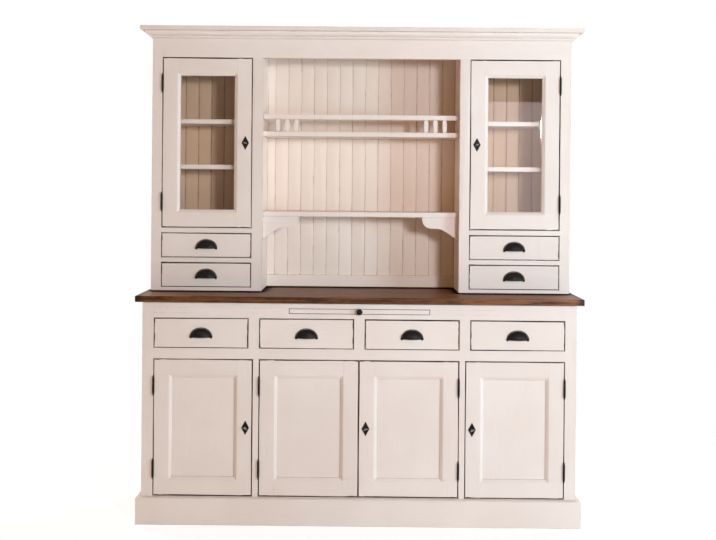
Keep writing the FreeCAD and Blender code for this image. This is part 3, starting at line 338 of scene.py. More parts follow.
def painted_wood(name, niche_tint, cupboard_tint):
    """Cream paint with brush marks, rubbed through along the edges, and dark with painted shade in gaps and
    corners.
    """
    shader = new_surface(name)
    place, grain_place, seed = board_coordinates(shader)
    axes = shader.axes(place)

    clouds = shader.ramp(shader.noise(place, "paint_clouds"), "paint_clouds")
    brush = shader.noise(grain_place, "brush_marks")
    board_tone = shader.math("FRACT", shader.times(seed, SEED_TONE_STEP))
    colour = shader.mix(clouds, CREAM, CREAM_PALE)
    colour = shader.mix(shader.times(shader.ramp(brush, "brush_marks"), BRUSH_SHARE), colour, CREAM_DULL)
    colour = shader.mix(shader.times(board_tone, BOARD_TONE_SHARE), colour, CREAM_DULL)

    in_cupboard = shader.math("GREATER_THAN", shader.math("ABSOLUTE", axes["X"]), niche_half_width)
    tint = shader.mix(in_cupboard, niche_tint, cupboard_tint)
    looks_back = shader.math("GREATER_THAN", shader.axes(shader.face_normal())["Y"], FACING_BACK)
    colour = shader.vector("MULTIPLY", colour, shader.mix(looks_back, tint, PLAIN_TINT))

    nearness = edge_nearness(shader, EDGE_REACH["paint"])
    patches = shader.ramp(shader.noise(place, "worn_patches"), "worn_patches")
    chips = shader.ramp(shader.noise(place, "chips"), "chips")
    rub = shader.times(shader.times(nearness, patches), chips)
    fleck_areas = shader.ramp(shader.noise(place, "fleck_areas"), "fleck_areas")
    flecks = shader.times(shader.ramp(shader.noise(grain_place, "flecks"), "flecks"), fleck_areas)
    bare = shader.larger(rub, shader.times(flecks, FLECK_SHARE), clamp=True)
    wood = shader.mix(shader.noise(grain_place, "bare_grain"), BARE_WOOD, BARE_WOOD_DARK)
    colour = shader.mix(bare, colour, wood)

    depth = corner_depth(shader, CORNER_REACH["paint"])
    streaks = shader.noise(grain_place, "dirt_streaks")
    wax = shader.times(shader.ramp(depth, "wax_corners"), shader.ramp(streaks, "wax_streaks"))
    colour = shader.mix(shader.times(wax, WAX_SHARE), colour, WAX)
    # Painted shade: beside the gaps, deep in grooves and corners, round each door and drawer front and at
    # the hutch's foot, broken up by streaks
    beside_gap = shader.times(shader.attribute("arris"), shader.ramp(depth, "gap_sides"))
    beside_gap = shader.times(beside_gap, shader.ramp(streaks, "gap_streaks"))
    painted_shade = shader.larger(beside_gap, shader.ramp(depth, "shaded_corners"))
    painted_shade = shader.larger(painted_shade, rim_shade(shader, place, streaks))
    # Painted shadow in the strip between the worktop and the foot of the hutch
    above_worktop = shader.math("GREATER_THAN", axes["Z"], worktop_level + POINT_STEP)
    below_shade = shader.math("LESS_THAN", axes["Z"], hutch_level + FOOT_SHADE)
    painted_shade = shader.larger(painted_shade, shader.times(above_worktop, below_shade))
    colour = shader.mix(painted_shade, colour, PAINTED_SHADE_COLOUR)

    height = shader.math("SUBTRACT", shader.times(brush, BRUSH_HEIGHT), bare)
    rough = shader.larger(shader.roughness(shader.noise(place, "paint_sheen"), "paint"), painted_shade)
    surface = shader.add("BsdfPrincipled", None, {
        "Base Color": colour, "Roughness": rough,
        "Specular IOR Level": shader.times(shader.math("SUBTRACT", 1.0, painted_shade), MIRRORING["paint"]),
        "Normal": shader.bump(height, "paint")})
    return shader.finish(surface.outputs[0])


def worktop_wood():
    """Dark waxed boards with fine lines along the grain, with painted light on the tops and towards the
    right, and painted shade, nearly black, under what stands on them.
    """
    shader = new_surface("worktop_wood")
    place, grain_place, _ = board_coordinates(shader)
    broad = shader.noise(grain_place, "broad_grain")
    fine = shader.noise(grain_place, "fine_grain")
    colour = shader.mix(shader.ramp(broad, "board_tones"), TOP_DARK, TOP_LIGHT)
    colour = shader.mix(shader.times(shader.ramp(fine, "grain_lines"), GRAIN_LINE_SHARE), colour, TOP_LINE)

    nearness = edge_nearness(shader, EDGE_REACH["worktop"])
    worn = shader.times(nearness, shader.ramp(shader.noise(place, "worn_rim"), "worn_rim"))
    colour = shader.mix(shader.times(worn, WORN_RIM_SHARE), colour, TOP_DARK)
    # Painted light: faces that look up are painted paler
    top_light_share = shader.ramp(shader.axes(shader.face_normal())["Z"], "facing_up")
    colour = shader.mix(top_light_share, colour, shader.vector("MULTIPLY", colour, TOP_PAINTED_LIGHT))

    across = shader.axes(place)["X"]
    # Painted light on the right part of the worktop, patchy along the boards
    right_light = shader.times(shader.step(across, RIGHT_LIGHT_START, worktop_end), shader.ramp(broad, "right_light_boards"))
    colour = shader.mix(shader.times(right_light, RIGHT_LIGHT_SHARE), colour, TOP_RIGHT_LIGHT)
    at_end = shader.step(
        shader.math("ABSOLUTE", across), worktop_end - DARK_END_START, worktop_end - DARK_END_WHOLE)
    colour = shader.mix(shader.times(at_end, DARK_END_SHARE), colour, TOP_LINE)
    # Painted shade, nearly black, in the strip where the hutch stands on the worktop
    shade_under_hutch = shader.ramp(corner_depth(shader, CORNER_REACH["worktop"]), "shade_strip")
    colour = shader.mix(shade_under_hutch, colour, TOP_LINE)

    surface = shader.add("BsdfPrincipled", None, {
        "Base Color": colour, "Roughness": shader.larger(shader.roughness(fine, "worktop"), shade_under_hutch),
        "Specular IOR Level": MIRRORING["worktop"], "Normal": shader.bump(fine, "worktop")})
    return shader.finish(surface.outputs[0])


def blackened_iron():
    """Near-black iron, paler along its edges, and with a painted highlight, as well as wear, where hands
    have rubbed it.
    """
    shader = new_surface("blackened_iron")
    mottle = shader.noise(shader.place(), "iron_mottle")
    nearness = edge_nearness(shader, EDGE_REACH["iron"])
    colour = shader.mix(shader.ramp(mottle, "iron_wear"), IRON, IRON_WORN)
    colour = shader.mix(shader.times(nearness, IRON_EDGE_SHARE), colour, IRON_WORN)
    # Painted highlight on the marked faces of the pulls' rims and the hinge leaves' eased edges, also
    # standing for their wear
    rubbed_highlight = shader.times(shader.attribute("arris"), shader.ramp(mottle, "iron_highlight"))
    colour = shader.mix(rubbed_highlight, colour, IRON_RUBBED_HIGHLIGHT)
    surface = shader.add("BsdfPrincipled", None, {
        "Base Color": colour, "Metallic": 0.0, "Roughness": shader.roughness(mottle, "iron"),
        "Specular IOR Level": MIRRORING["iron"], "Normal": shader.bump(mottle, "iron")})
    return shader.finish(surface.outputs[0])


def worn_steel():
    """Steel that hands have kept grey, darker in patches."""
    shader = new_surface("worn_steel")
    mottle = shader.noise(shader.place(), "steel_mottle")
    colour = shader.mix(shader.ramp(mottle, "steel_tones"), STEEL_DARK, STEEL)
    surface = shader.add("BsdfPrincipled", None, {
        "Base Color": colour, "Metallic": 1.0, "Roughness": shader.roughness(mottle, "steel"),
        "Normal": shader.bump(mottle, "steel")})
    return shader.finish(surface.outputs[0])


def window_glass():
    """Clear panes: what they mirror lies thinly over what is seen through them, once for each pane."""
    shader = new_surface("window_glass")
    normal = shader.bump(shader.noise(shader.place(), "glass_ripple"), "glass")
    mirror_share = shader.add("Fresnel", None, {"IOR": GLASS_IOR, "Normal": normal}).outputs[0]
    first_face = shader.math("SUBTRACT", 1.0, shader.add("NewGeometry").outputs["Backfacing"])
    share = shader.math("ADD", GLASS_HAZE, mirror_share, clamp=True)
    surface = shader.add("BsdfPrincipled", None, {
        "Base Color": GLASS_SHEEN, "Metallic": 1.0, "Roughness": GLASS_ROUGHNESS, "Normal": normal,
        "Alpha": shader.times(share, first_face)})
    return shader.finish(surface.outputs[0])


MATERIALS = {
    "painted_wood": painted_wood("painted_wood", PLAIN_TINT, PLAIN_TINT),
    "lit_wall_paint": painted_wood("lit_wall_paint", WALL_PAINTED_LIGHT, PLAIN_TINT),
    "back_board_paint": painted_wood("back_board_paint", NICHE_TINT, CUPBOARD_TAN_AND_SHADE),
    "worktop_wood": worktop_wood(),
    "iron": blackened_iron(),
    "steel": worn_steel(),
    "glass": window_glass(),
}


# Wooden pieces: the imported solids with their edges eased

# How much finer the grain is across a board than along it
GRAIN_STRETCH = 14.0
SEED_STEP = 3.37
# How squarely a face looks forward to count as the front, and a place beyond every piece
FRONT_SHARE = 0.9
FAR_OUT = 10.0
AXES = (Vector((1.0, 0.0, 0.0)), Vector((0.0, 1.0, 0.0)), Vector((0.0, 0.0, 1.0)))
# What each face tells the materials, as the kind of attribute and the field that holds it
FACE_ATTRIBUTES = {
    "board_seed": ("FLOAT", "value"), "along": ("FLOAT_VECTOR", "vector"), "arris": ("FLOAT", "value"),
    "front_low": ("FLOAT_VECTOR", "vector"), "front_high": ("FLOAT_VECTOR", "vector"),
}
WOODS = ("painted_wood", "worktop_wood")
PAINT_OF_NODE = {"hutch_back_boards": "back_board_paint", "hutch_upright_panels": "lit_wall_paint"}


def point_key(point):
    return tuple(round(value / POINT_STEP) for value in point)


def corners_of(points):
    """The low and the high corner of the box round some points."""
    low = Vector([min(point[axis] for point in points) for axis in range(3)])
    high = Vector([max(point[axis] for point in points) for axis in range(3)])
    return low, high


def solids_of(node):
    """The triangles of each closed solid of a node, in the order in which its mesh holds them."""
    mesh = frame["nodes"][node].data
    solids = []
    current = []
    open_edges = {}
    for polygon in mesh.polygons:
        corners = [point_key(mesh.vertices[index].co) for index in polygon.vertices]
        current.append([mesh.vertices[index].co.copy() for index in polygon.vertices])
        for start, end in zip(corners, corners[1:] + corners[:1]):
            if open_edges.get((end, start), 0) > 1:
                open_edges[(end, start)] -= 1
            elif (end, start) in open_edges:
                del open_edges[(end, start)]
            else:
                open_edges[(start, end)] = open_edges.get((start, end), 0) + 1
        if not open_edges:
            solids.append(current)
            current = []
    return solids


def points_of(solid):
    return [point for triangle in solid for point in triangle]


def whole_faces(triangles):
    """A bmesh of one solid, with flat faces in one piece each."""
    shape = bmesh.new()
    vertices = {}
    for triangle in triangles:
        corners = []
        for point in triangle:
            key = point_key(point)
            if key not in vertices:
                vertices[key] = shape.verts.new(point)
            corners.append(vertices[key])
        if len(set(corners)) == len(triangle) and not shape.faces.get(corners):
            shape.faces.new(corners)
    bmesh.ops.dissolve_limit(
        shape, angle_limit=FLAT_ANGLE, verts=shape.verts[:], edges=shape.edges[:],
        use_dissolve_boundaries=False)
    return shape


def boxes_touch(box, other):
    low, high = box
    other_low, other_high = other
    return all(other_low[axis] <= high[axis] + JOINT_REACH and other_high[axis] >= low[axis] - JOINT_REACH
               for axis in range(3))


def is_within(point, box):
    low, high = box
    return all(low[axis] - JOINT_REACH < point[axis] < high[axis] + JOINT_REACH for axis in range(3))


def cut_at_neighbours(shape, box, neighbours):
    """Divides a board's faces where a neighbour that touches it starts or ends."""
    low, high = box
    for neighbour in neighbours:
        if not boxes_touch(box, neighbour):
            continue
        for axis, direction in enumerate(AXES):
            for level in (neighbour[0][axis], neighbour[1][axis]):
                if low[axis] + JOINT_REACH < level < high[axis] - JOINT_REACH:
                    bmesh.ops.bisect_plane(
                        shape, geom=shape.verts[:] + shape.edges[:] + shape.faces[:], dist=POINT_STEP,
                        plane_co=direction * level, plane_no=direction)


def ease_edges(shape, arris, neighbours=()):
    """Rounds the sharp outer edges, but for those that lie against a neighbour."""
    edges = []
    for edge in shape.edges:
        if not edge.is_manifold or not edge.is_convex or edge.calc_face_angle() < BEVEL_ANGLE:
            continue
        middle = (edge.verts[0].co + edge.verts[1].co) / 2
        if not any(is_within(middle, box) for box in neighbours):
            edges.append(edge)
    layer = shape.faces.layers.int.new("arris")
    if arris and edges:
        made = bmesh.ops.bevel(
            shape, geom=edges, offset=arris, offset_type="OFFSET", segments=ARRIS_SEGMENTS,
            profile=ROUND_PROFILE, affect="EDGES", clamp_overlap=True)
        for face in made["faces"]:
            face[layer] = 1


class Gathered:
    """One mesh gathered from several shapes, with a seed and a grain direction for each of them."""

    def __init__(self, front=None):
        """The front is the box of a door or drawer, whose front faces then know their outer edges."""
        self.front = front
        self.points = []
        self.faces = []
        self.told = {key: [] for key in FACE_ATTRIBUTES}
        self.count = 0

    def take(self, shape):
        shape.verts.index_update()
        shape.normal_update()
        start = len(self.points)
        self.points += [vertex.co.copy() for vertex in shape.verts]
        low, high = corners_of([vertex.co for vertex in shape.verts])
        lengths = [top - bottom for bottom, top in zip(low, high)]
        longest = lengths.index(max(lengths))
        along = [1.0 if axis == longest else GRAIN_STRETCH for axis in range(3)]
        layer = shape.faces.layers.int.get("arris")
        for face in shape.faces:
            self.faces.append([start + vertex.index for vertex in face.verts])
            self.told["board_seed"].append(self.count * SEED_STEP + sum(low))
            self.told["along"] += along
            self.told["arris"].append(float(face[layer]) if layer else 0.0)
            is_front = self.front is not None and face.normal.y < -FRONT_SHARE
            self.told["front_low"] += tuple(self.front[0]) if is_front else (-FAR_OUT,) * 3
            self.told["front_high"] += tuple(self.front[1]) if is_front else (FAR_OUT,) * 3
        self.count += 1
        shape.free()

    def as_object(self, name, material):
        mesh = bpy.data.meshes.new(name)
        mesh.from_pydata(self.points, [], self.faces)
        for key, (kind, field) in FACE_ATTRIBUTES.items():
            mesh.attributes.new(key, kind, "FACE").data.foreach_set(field, self.told[key])
        mesh.polygons.foreach_set("use_smooth", [True] * len(mesh.polygons))
        mesh.set_sharp_from_angle(angle=SHARP_ANGLE)
        mesh.materials.append(MATERIALS[material])
        mesh.update()
        return place_in_scene(name, mesh)


def place_in_scene(name, data):
    piece = bpy.data.objects.new(name, data)
    bpy.context.scene.collection.objects.link(piece)
    return piece


def stand_for(piece, node):
    """The piece takes the node's place and moves with its body."""
    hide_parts(node)
    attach(piece, body_of_node[node])


def dress_wood(node, material, arris):
    solids = solids_of(node)
    boxes = [corners_of(points_of(solid)) for solid in solids]
    gathered = Gathered(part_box(node) if "door" in node or "drawer" in node else None)
    for number, solid in enumerate(solids):
        shape = whole_faces(solid)
        neighbours = boxes[:number] + boxes[number + 1:]
        if arris:
            cut_at_neighbours(shape, boxes[number], neighbours)
        ease_edges(shape, arris, neighbours)
        gathered.take(shape)
    stand_for(gathered.as_object(node + "_dressed", material), node)


# Round pieces

TINY = 1e-5
ROUND_SIDES = 28


def angles_round(count):
    return [2 * math.pi * step / count for step in range(count)]


def skin(sections, ring=False):
    """A bmesh through closed sections with the same number of points each, as a ring or with end caps."""
    shape = bmesh.new()
    rows = [[shape.verts.new(point) for point in section] for section in sections]
    pairs = list(zip(rows, rows[1:]))
    if ring:
        pairs.append((rows[-1], rows[0]))
    for first, second in pairs:
        for place in range(len(first)):
            following = (place + 1) % len(first)
            shape.faces.new([first[place], first[following], second[following], second[place]])
    if not ring:
        shape.faces.new(list(reversed(rows[0])))
        shape.faces.new(rows[-1])
    bmesh.ops.recalc_face_normals(shape, faces=shape.faces[:])
    return shape


def turned(outline, turn):
    """A piece turned about the vertical axis from radii and levels, then placed by a matrix."""
    sections = []
    for radius, level in outline:
        wide = max(radius, TINY)
        sections.append([
            turn @ Vector((wide * math.cos(angle), wide * math.sin(angle), level))
            for angle in angles_round(ROUND_SIDES)])
    return skin(sections)


def eased_box(low, high, easing):
    corners = [
        Vector((low[0], low[1], low[2])), Vector((high[0], low[1], low[2])),
        Vector((high[0], high[1], low[2])), Vector((low[0], high[1], low[2])),
    ]
    raised = [Vector((corner.x, corner.y, high[2])) for corner in corners]
    shape = skin([corners, raised])
    ease_edges(shape, easing)
    return shape


def facing_front(place):
    """Turns a piece made upright so that its top faces the front, at a place."""
    return Matrix.Translation(place) @ Matrix.Rotation(QUARTER_TURN, 4, "X")


def stand_in(node, shapes, material="iron"):
    """The shapes, as one piece, take the place of an iron node."""
    gathered = Gathered()
    for shape in shapes:
        gathered.take(shape)
    stand_for(gathered.as_object(node + "_smooth", material), node)


# Finial hinges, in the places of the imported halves, whose barrels have ten flat sides
KNUCKLE_RADIUS = 0.0045
PACKED_KNUCKLE_SIDES = 10
KNUCKLE_FRONT = KNUCKLE_RADIUS * math.cos(math.pi / PACKED_KNUCKLE_SIDES)
KNUCKLE_GAP = 0.00015
PIN_RADIUS = 0.0020
PIN_LENGTH = 0.026
PIN_BORE_RADIUS = 0.00215
PIN_BORE_LENGTH = 0.028
FINIAL_TIP = 0.045
LEAF_START = 0.0026
LEAF_BACK = 0.0001
LEAF_EASING = 0.0003
FINIAL_OUTLINE = [
    (KNUCKLE_RADIUS, 0.0342), (0.0043, 0.0348), (0.0034, 0.0352), (0.0025, 0.0358), (0.0025, 0.0366),
    (0.0032, 0.0374), (0.0037, 0.0387), (0.0036, 0.0398), (0.0030, 0.0414), (0.0020, 0.0430),
    (0.0012, 0.0440), (0.0006, 0.0447), (0.0, FINIAL_TIP),
]


def hinge_leaf(points, axis_y):
    back = corners_of(points)[1].y
    low, high = corners_of([point for point in points if back - point.y < LEAF_BACK])
    return eased_box((low.x, axis_y + LEAF_START, low.z), (high.x, back, high.z), LEAF_EASING)


def hinge_half(points, with_pin):
    """One half of a hinge: the upper one with its bore, or the lower one with its pin."""
    low, high = corners_of(points)
    axis_x = (low.x + high.x) / 2
    axis_y = low.y + KNUCKLE_FRONT
    if with_pin:
        place = Matrix.Translation((axis_x, axis_y, low.z + FINIAL_TIP))
        outline = [(radius, -level) for radius, level in reversed(FINIAL_OUTLINE)]
        outline += [
            (KNUCKLE_RADIUS, -KNUCKLE_GAP), (PIN_RADIUS, -KNUCKLE_GAP), (PIN_RADIUS, PIN_LENGTH),
            (0.0, PIN_LENGTH)]
    else:
        place = Matrix.Translation((axis_x, axis_y, high.z - FINIAL_TIP))
        outline = [
            (0.0, PIN_BORE_LENGTH), (PIN_BORE_RADIUS, PIN_BORE_LENGTH), (PIN_BORE_RADIUS, KNUCKLE_GAP),
            (KNUCKLE_RADIUS, KNUCKLE_GAP)]
        outline += FINIAL_OUTLINE
    return [turned(outline, place), hinge_leaf(points, axis_y)]


# Diamond escutcheons with a round keyhole and two nails each
PLATE_THICKNESS = 0.0016
PLATE_BEVEL = 0.0016
PLATE_EDGE = 0.0007
PLATE_SIDES = 48
KEYHOLE_RADIUS = 0.0031
NAIL_PLACE = 0.0195
NAIL_OUTLINE = [(0.0024, 0.0), (0.0023, 0.0005), (0.0017, 0.0009), (0.0009, 0.0011), (0.0, 0.0012)]


def rim_point(centre, reach, angle, y):
    return Vector((centre.x + reach * math.cos(angle), y, centre.z + reach * math.sin(angle)))


def diamond(half_width, half_height, centre, y):
    section = []
    for angle in angles_round(PLATE_SIDES):
        reach = 1 / (abs(math.cos(angle)) / half_width + abs(math.sin(angle)) / half_height)
        section.append(rim_point(centre, reach, angle, y))
    return section


def hole_rim(centre, y):
    return [rim_point(centre, KEYHOLE_RADIUS, angle, y) for angle in angles_round(PLATE_SIDES)]


def escutcheon(points):
    low, high = corners_of(points)
    centre = (low + high) / 2
    half_width = (high.x - low.x) / 2
    half_height = (high.z - low.z) / 2
    slope = half_height / half_width
    front = high.y - PLATE_THICKNESS
    plate = skin([
        diamond(half_width, half_height, centre, high.y),
        diamond(half_width, half_height, centre, high.y - PLATE_EDGE),
        diamond(half_width - PLATE_BEVEL, half_height - PLATE_BEVEL * slope, centre, front),
        hole_rim(centre, front),
        hole_rim(centre, high.y),
    ], ring=True)
    nails = []
    for side in (-1, 1):
        place = Vector((centre.x, front, centre.z + side * NAIL_PLACE))
        nails.append(turned(NAIL_OUTLINE, facing_front(place)))
    return [plate] + nails


def dress_ironwork(node):
    """Escutcheons and hinge halves, told apart by their depth."""
    shapes = []
    for solid in solids_of(node):
        points = points_of(solid)
        low, high = corners_of(points)
        if high.y - low.y < 2 * PLATE_THICKNESS:
            shapes += escutcheon(points)
        else:
            shapes += hinge_half(points, with_pin=(node == "hinge_frame_halves"))
    stand_in(node, shapes)


# Keys
KEY_BACK = 0.016
KEY_SHANK_RADIUS = 0.0028
KEY_BOW_HALF_WIDTH = 0.0098
KEY_BOW_HALF_LENGTH = 0.0053
KEY_BOW_MIDDLE = 0.0173
KEY_WIRE_RADIUS = 0.00165
KEY_TILT = math.radians(20)
KEY_BOW_STEPS = 40
KEY_WIRE_SIDES = 14
KEY_SHANK_OUTLINE = [
    (0.0, -KEY_BACK), (0.0026, -KEY_BACK), (KEY_SHANK_RADIUS, -0.0157), (KEY_SHANK_RADIUS, 0.0052),
    (0.0038, 0.0056), (0.0042, 0.0064), (0.0042, 0.0076), (0.0038, 0.0084), (KEY_SHANK_RADIUS, 0.0089),
    (KEY_SHANK_RADIUS, 0.0114), (0.0020, 0.0124), (0.0, 0.0126),
]
KEY_BIT_REACH = 0.0075
KEY_BIT_LENGTH = 0.006
KEY_BIT_HALF = 0.0012
KEY_BIT_EASING = 0.0003


def key_bow(tilt):
    """The oval wire loop that fingers hold."""
    sections = []
    for angle in angles_round(KEY_BOW_STEPS):
        across = math.cos(angle)
        along = math.sin(angle)
        outward = Vector((across, along * KEY_BOW_HALF_WIDTH / KEY_BOW_HALF_LENGTH, 0)).normalized()
        middle = Vector((KEY_BOW_HALF_WIDTH * across, -KEY_BOW_MIDDLE + KEY_BOW_HALF_LENGTH * along, 0))
        section = []
        for around in angles_round(KEY_WIRE_SIDES):
            section.append(tilt @ (
                middle + outward * KEY_WIRE_RADIUS * math.cos(around)
                + AXES[2] * KEY_WIRE_RADIUS * math.sin(around)))
        sections.append(section)
    return skin(sections, ring=True)


def dress_key(node):
    """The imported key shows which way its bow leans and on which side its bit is."""
    points = [vertex.co for vertex in frame["nodes"][node].data.vertices]
    low, high = corners_of(points)
    centre = (low + high) / 2
    axis = Vector((centre.x, high.y - KEY_BACK, centre.z))
    bow_points = [point for point in points if point.y < axis.y - KEY_BOW_MIDDLE + KEY_BOW_HALF_LENGTH]
    bit_points = [point for point in points if point.y > axis.y]
    lean = sum((point.x - axis.x) * (point.z - axis.z) for point in bow_points)
    bit_side = sum(point.x - axis.x for point in bit_points)
    tilt = Matrix.Translation(axis) @ Matrix.Rotation(-KEY_TILT if lean > 0 else KEY_TILT, 4, "Y")
    shank = turned(KEY_SHANK_OUTLINE, facing_front(axis))
    bit_low = (0.0, KEY_BACK - KEY_BIT_LENGTH, -KEY_BIT_HALF)
    bit_high = (KEY_BIT_REACH, KEY_BACK, KEY_BIT_HALF)
    bit = eased_box(bit_low, bit_high, KEY_BIT_EASING)
    if bit_side < 0:
        bmesh.ops.rotate(bit, verts=bit.verts[:], cent=(0, 0, 0), matrix=Matrix.Rotation(math.pi, 3, "Y"))
    bmesh.ops.transform(bit, matrix=tilt, verts=bit.verts[:])
    stand_in(node, [key_bow(tilt), shank, bit], "steel")


# Cup pulls
CUP_HALF_WIDTH = 0.0462
CUP_HEIGHT = 0.0385
CUP_REACH = 0.0238
CUP_WALL = 0.0025
CUP_LIP = 0.0004
CUP_LIP_WAVE = 0.0006
CUP_LIP_MIDDLE = 0.55
CUP_START = math.radians(2)
CUP_SWEEP = math.radians(176)
CUP_LONG_STEPS = 36
CUP_UP_STEPS = 14
RIM_HALF_WIDTH = 0.0050
RIM_THICKNESS = 0.0040
RIM_SIDES = 12
RUBBED_HIGHLIGHT_SHARE = 0.955
PULL_HALF_WIDTH = 0.050
PULL_ARCH = 0.042
FOOT_RADIUS = 0.0055
FOOT_OUTLINE = [
    (0.0048, 0.0), (0.0054, 0.0010), (FOOT_RADIUS, 0.0026), (0.0052, 0.0042), (0.0043, 0.0057),
    (0.0029, 0.0066), (0.0014, 0.0070), (0.0, 0.0070),
]


def cup_point(inset, up, along, drop=0.0):
    """A place on the cup, an inset under its skin, at angles up from the lip and along its length."""
    ring = math.sin(along)
    point = Vector((
        (CUP_HALF_WIDTH - inset) * math.cos(along), -(CUP_REACH - inset) * ring * math.cos(up),
        (CUP_HEIGHT - inset) * ring * math.sin(up)))
    point.z -= drop
    return point


def cup_shell(place):
    """A thin quarter of a long ball with a softly waved lip, closed round its edge."""
    ups = [QUARTER_TURN * up_step / CUP_UP_STEPS for up_step in range(CUP_UP_STEPS + 1)]
    sections = []
    for long_step in range(CUP_LONG_STEPS + 1):
        along = CUP_START + CUP_SWEEP * long_step / CUP_LONG_STEPS
        drop = CUP_LIP + CUP_LIP_WAVE * (math.sin(along) ** 2 - CUP_LIP_MIDDLE)
        section = [cup_point(0.0, 0.0, along, drop)]
        section += [cup_point(0.0, up, along) for up in ups]
        section += [cup_point(CUP_WALL, up, along) for up in reversed(ups)]
        section.append(cup_point(CUP_WALL, 0.0, along, drop))
        sections.append([place + point for point in section])
    return skin(sections)


def cup_rim(place):
    """A half-round bead along the arch, rubbed paler on its inner slope, where a painted highlight also
    lies.
    """
    sections = []
    for step in range(CUP_LONG_STEPS + 1):
        angle = math.pi * step / CUP_LONG_STEPS
        section = []
        for around in angles_round(RIM_SIDES):
            inward = RIM_HALF_WIDTH / 2 * (1 - math.cos(around))
            proud = RIM_THICKNESS * math.sqrt(max(math.sin(around), 0.0))
            point = Vector((
                (PULL_HALF_WIDTH - inward) * math.cos(angle), -proud,
                (PULL_ARCH - inward) * math.sin(angle)))
            section.append(place + point)
        sections.append(section)
    rim = skin(sections)
    layer = rim.faces.layers.int.new("arris")
    for face in rim.faces:
        reach = face.calc_center_median() - place
        inner = math.hypot(reach.x / PULL_HALF_WIDTH, reach.z / PULL_ARCH) < RUBBED_HIGHLIGHT_SHARE
        face[layer] = int(inner and reach.z > FOOT_RADIUS)
    return rim


def dress_pull(node):
    low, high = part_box(node)
    place = Vector(((low[0] + high[0]) / 2, high[1], low[2] + FOOT_RADIUS))
    shapes = [cup_shell(place), cup_rim(place)]
    for side in (-1, 1):
        foot = place + Vector((side * (PULL_HALF_WIDTH - FOOT_RADIUS), 0, 0))
        shapes.append(turned(FOOT_OUTLINE, facing_front(foot)))
    stand_in(node, shapes)


# The knob of the pull-out board
KNOB_OUTLINE = [
    (0.0, 0.0), (0.0090, 0.0), (0.0090, 0.0012), (0.0074, 0.0024), (0.0062, 0.0034),
    (0.0059, 0.0050), (0.0060, 0.0075), (0.0072, 0.0092), (0.0104, 0.0110), (0.0129, 0.0135),
    (0.0135, 0.0165), (0.0132, 0.0192), (0.0118, 0.0216), (0.0094, 0.0231), (0.0060, 0.0238),
    (0.0025, 0.0240), (0.0, 0.0240),
]


def dress_knob(node):
    low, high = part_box(node)
    place = Vector(((low[0] + high[0]) / 2, high[1], (low[2] + high[2]) / 2))
    stand_in(node, [turned(KNOB_OUTLINE, facing_front(place))])


def dress(node):
    """Wood gets eased edges, ironwork and keys get round shapes, and glass and bolts keep theirs."""
    slot = slot_of_node.get(node)
    if slot == "painted_wood":
        dress_wood(node, PAINT_OF_NODE.get(node, slot), ARRIS)
    elif slot == "worktop_wood":
        dress_wood(node, slot, 0.0)
    elif node.endswith("_ironwork") or node == "hinge_frame_halves":
        dress_ironwork(node)
    elif node.endswith("_key"):
        dress_key(node)
    elif node.endswith("_pull"):
        dress_pull(node)
    elif node == "pullout_knob":
        dress_knob(node)
    elif slot in ("iron", "glass"):
        target = frame["nodes"][node]
        target.data.materials.clear()
        target.data.materials.append(MATERIALS[slot])


def dressing_order(node):
    """Wooden pieces come first."""
    return slot_of_node.get(node) not in WOODS, node


for node in sorted(frame["nodes"], key=dressing_order):
    dress(node)


# Stage
FLOOR_COLOUR = linear(236, 230, 224)
FLOOR_SHADE_COLOUR = linear(150, 148, 146)
FLOOR_GLOW = 0.80
FLOOR_NEAR = 1.4
FLOOR_FAR = 2.6
FLOOR_HALF = 30.0

# Light
FILL_COLOUR = (1.0, 0.55, 0.10, 1.0)
FILL_STRENGTH = 0.262
KEY_PLACE = Vector((2.1, -5.5, 2.06))
KEY_AIM = Vector((0, 0, 1.1))
KEY_SIZE = 0.8
KEY_POWER = 156.5
KEY_COLOUR = (0.872, 0.908, 1.0)
SIDE_PLACE = Vector((5.0, -3.6, 1.35))
SIDE_AIM = Vector((0, -0.2, 1.2))
SIDE_SIZE = 1.6
SIDE_POWER = 190.0
SIDE_COLOUR = (0.52, 0.83, 1.0)
REAR_PLACES = (Vector((-3.6, 3.0, 3.8)), Vector((3.4, 3.4, 3.8)), Vector((-5.2, 0.7, 2.0)))
REAR_SIZE = 1.2
REAR_POWERS = (120.0, 130.0, 42.0)
REAR_COLOUR = (0.88, 0.96, 1.0)
PANEL_PLACE = Vector((1.55, -5.4, 1.22))
PANEL_SIZE = (1.1, 2.19)
PANEL_POWER = 64.0
PANEL_COLOUR = (1.0, 0.92, 0.98)

# Camera, level but for a small roll, with the frame shifted down
FRAME_WIDTH = 716
FRAME_HEIGHT = 540
SENSOR_WIDTH = 36.0
FOCAL_PIXELS = 1083.0
HORIZON_PIXEL = 190.0
CAMERA_PLACE = Vector((0.0106, -4.9591, 1.4661))
CAMERA_ROLL = 0.0088
CAMERA_YAW = -0.0046


def background_share(shader):
    """1 for what the camera sees straight, in a mirror or through glass, and 0 for the rest."""
    path = shader.add("LightPath")
    seen = shader.larger(path.outputs["Is Camera Ray"], path.outputs["Is Glossy Ray"])
    return shader.larger(seen, path.outputs["Is Transmission Ray"])


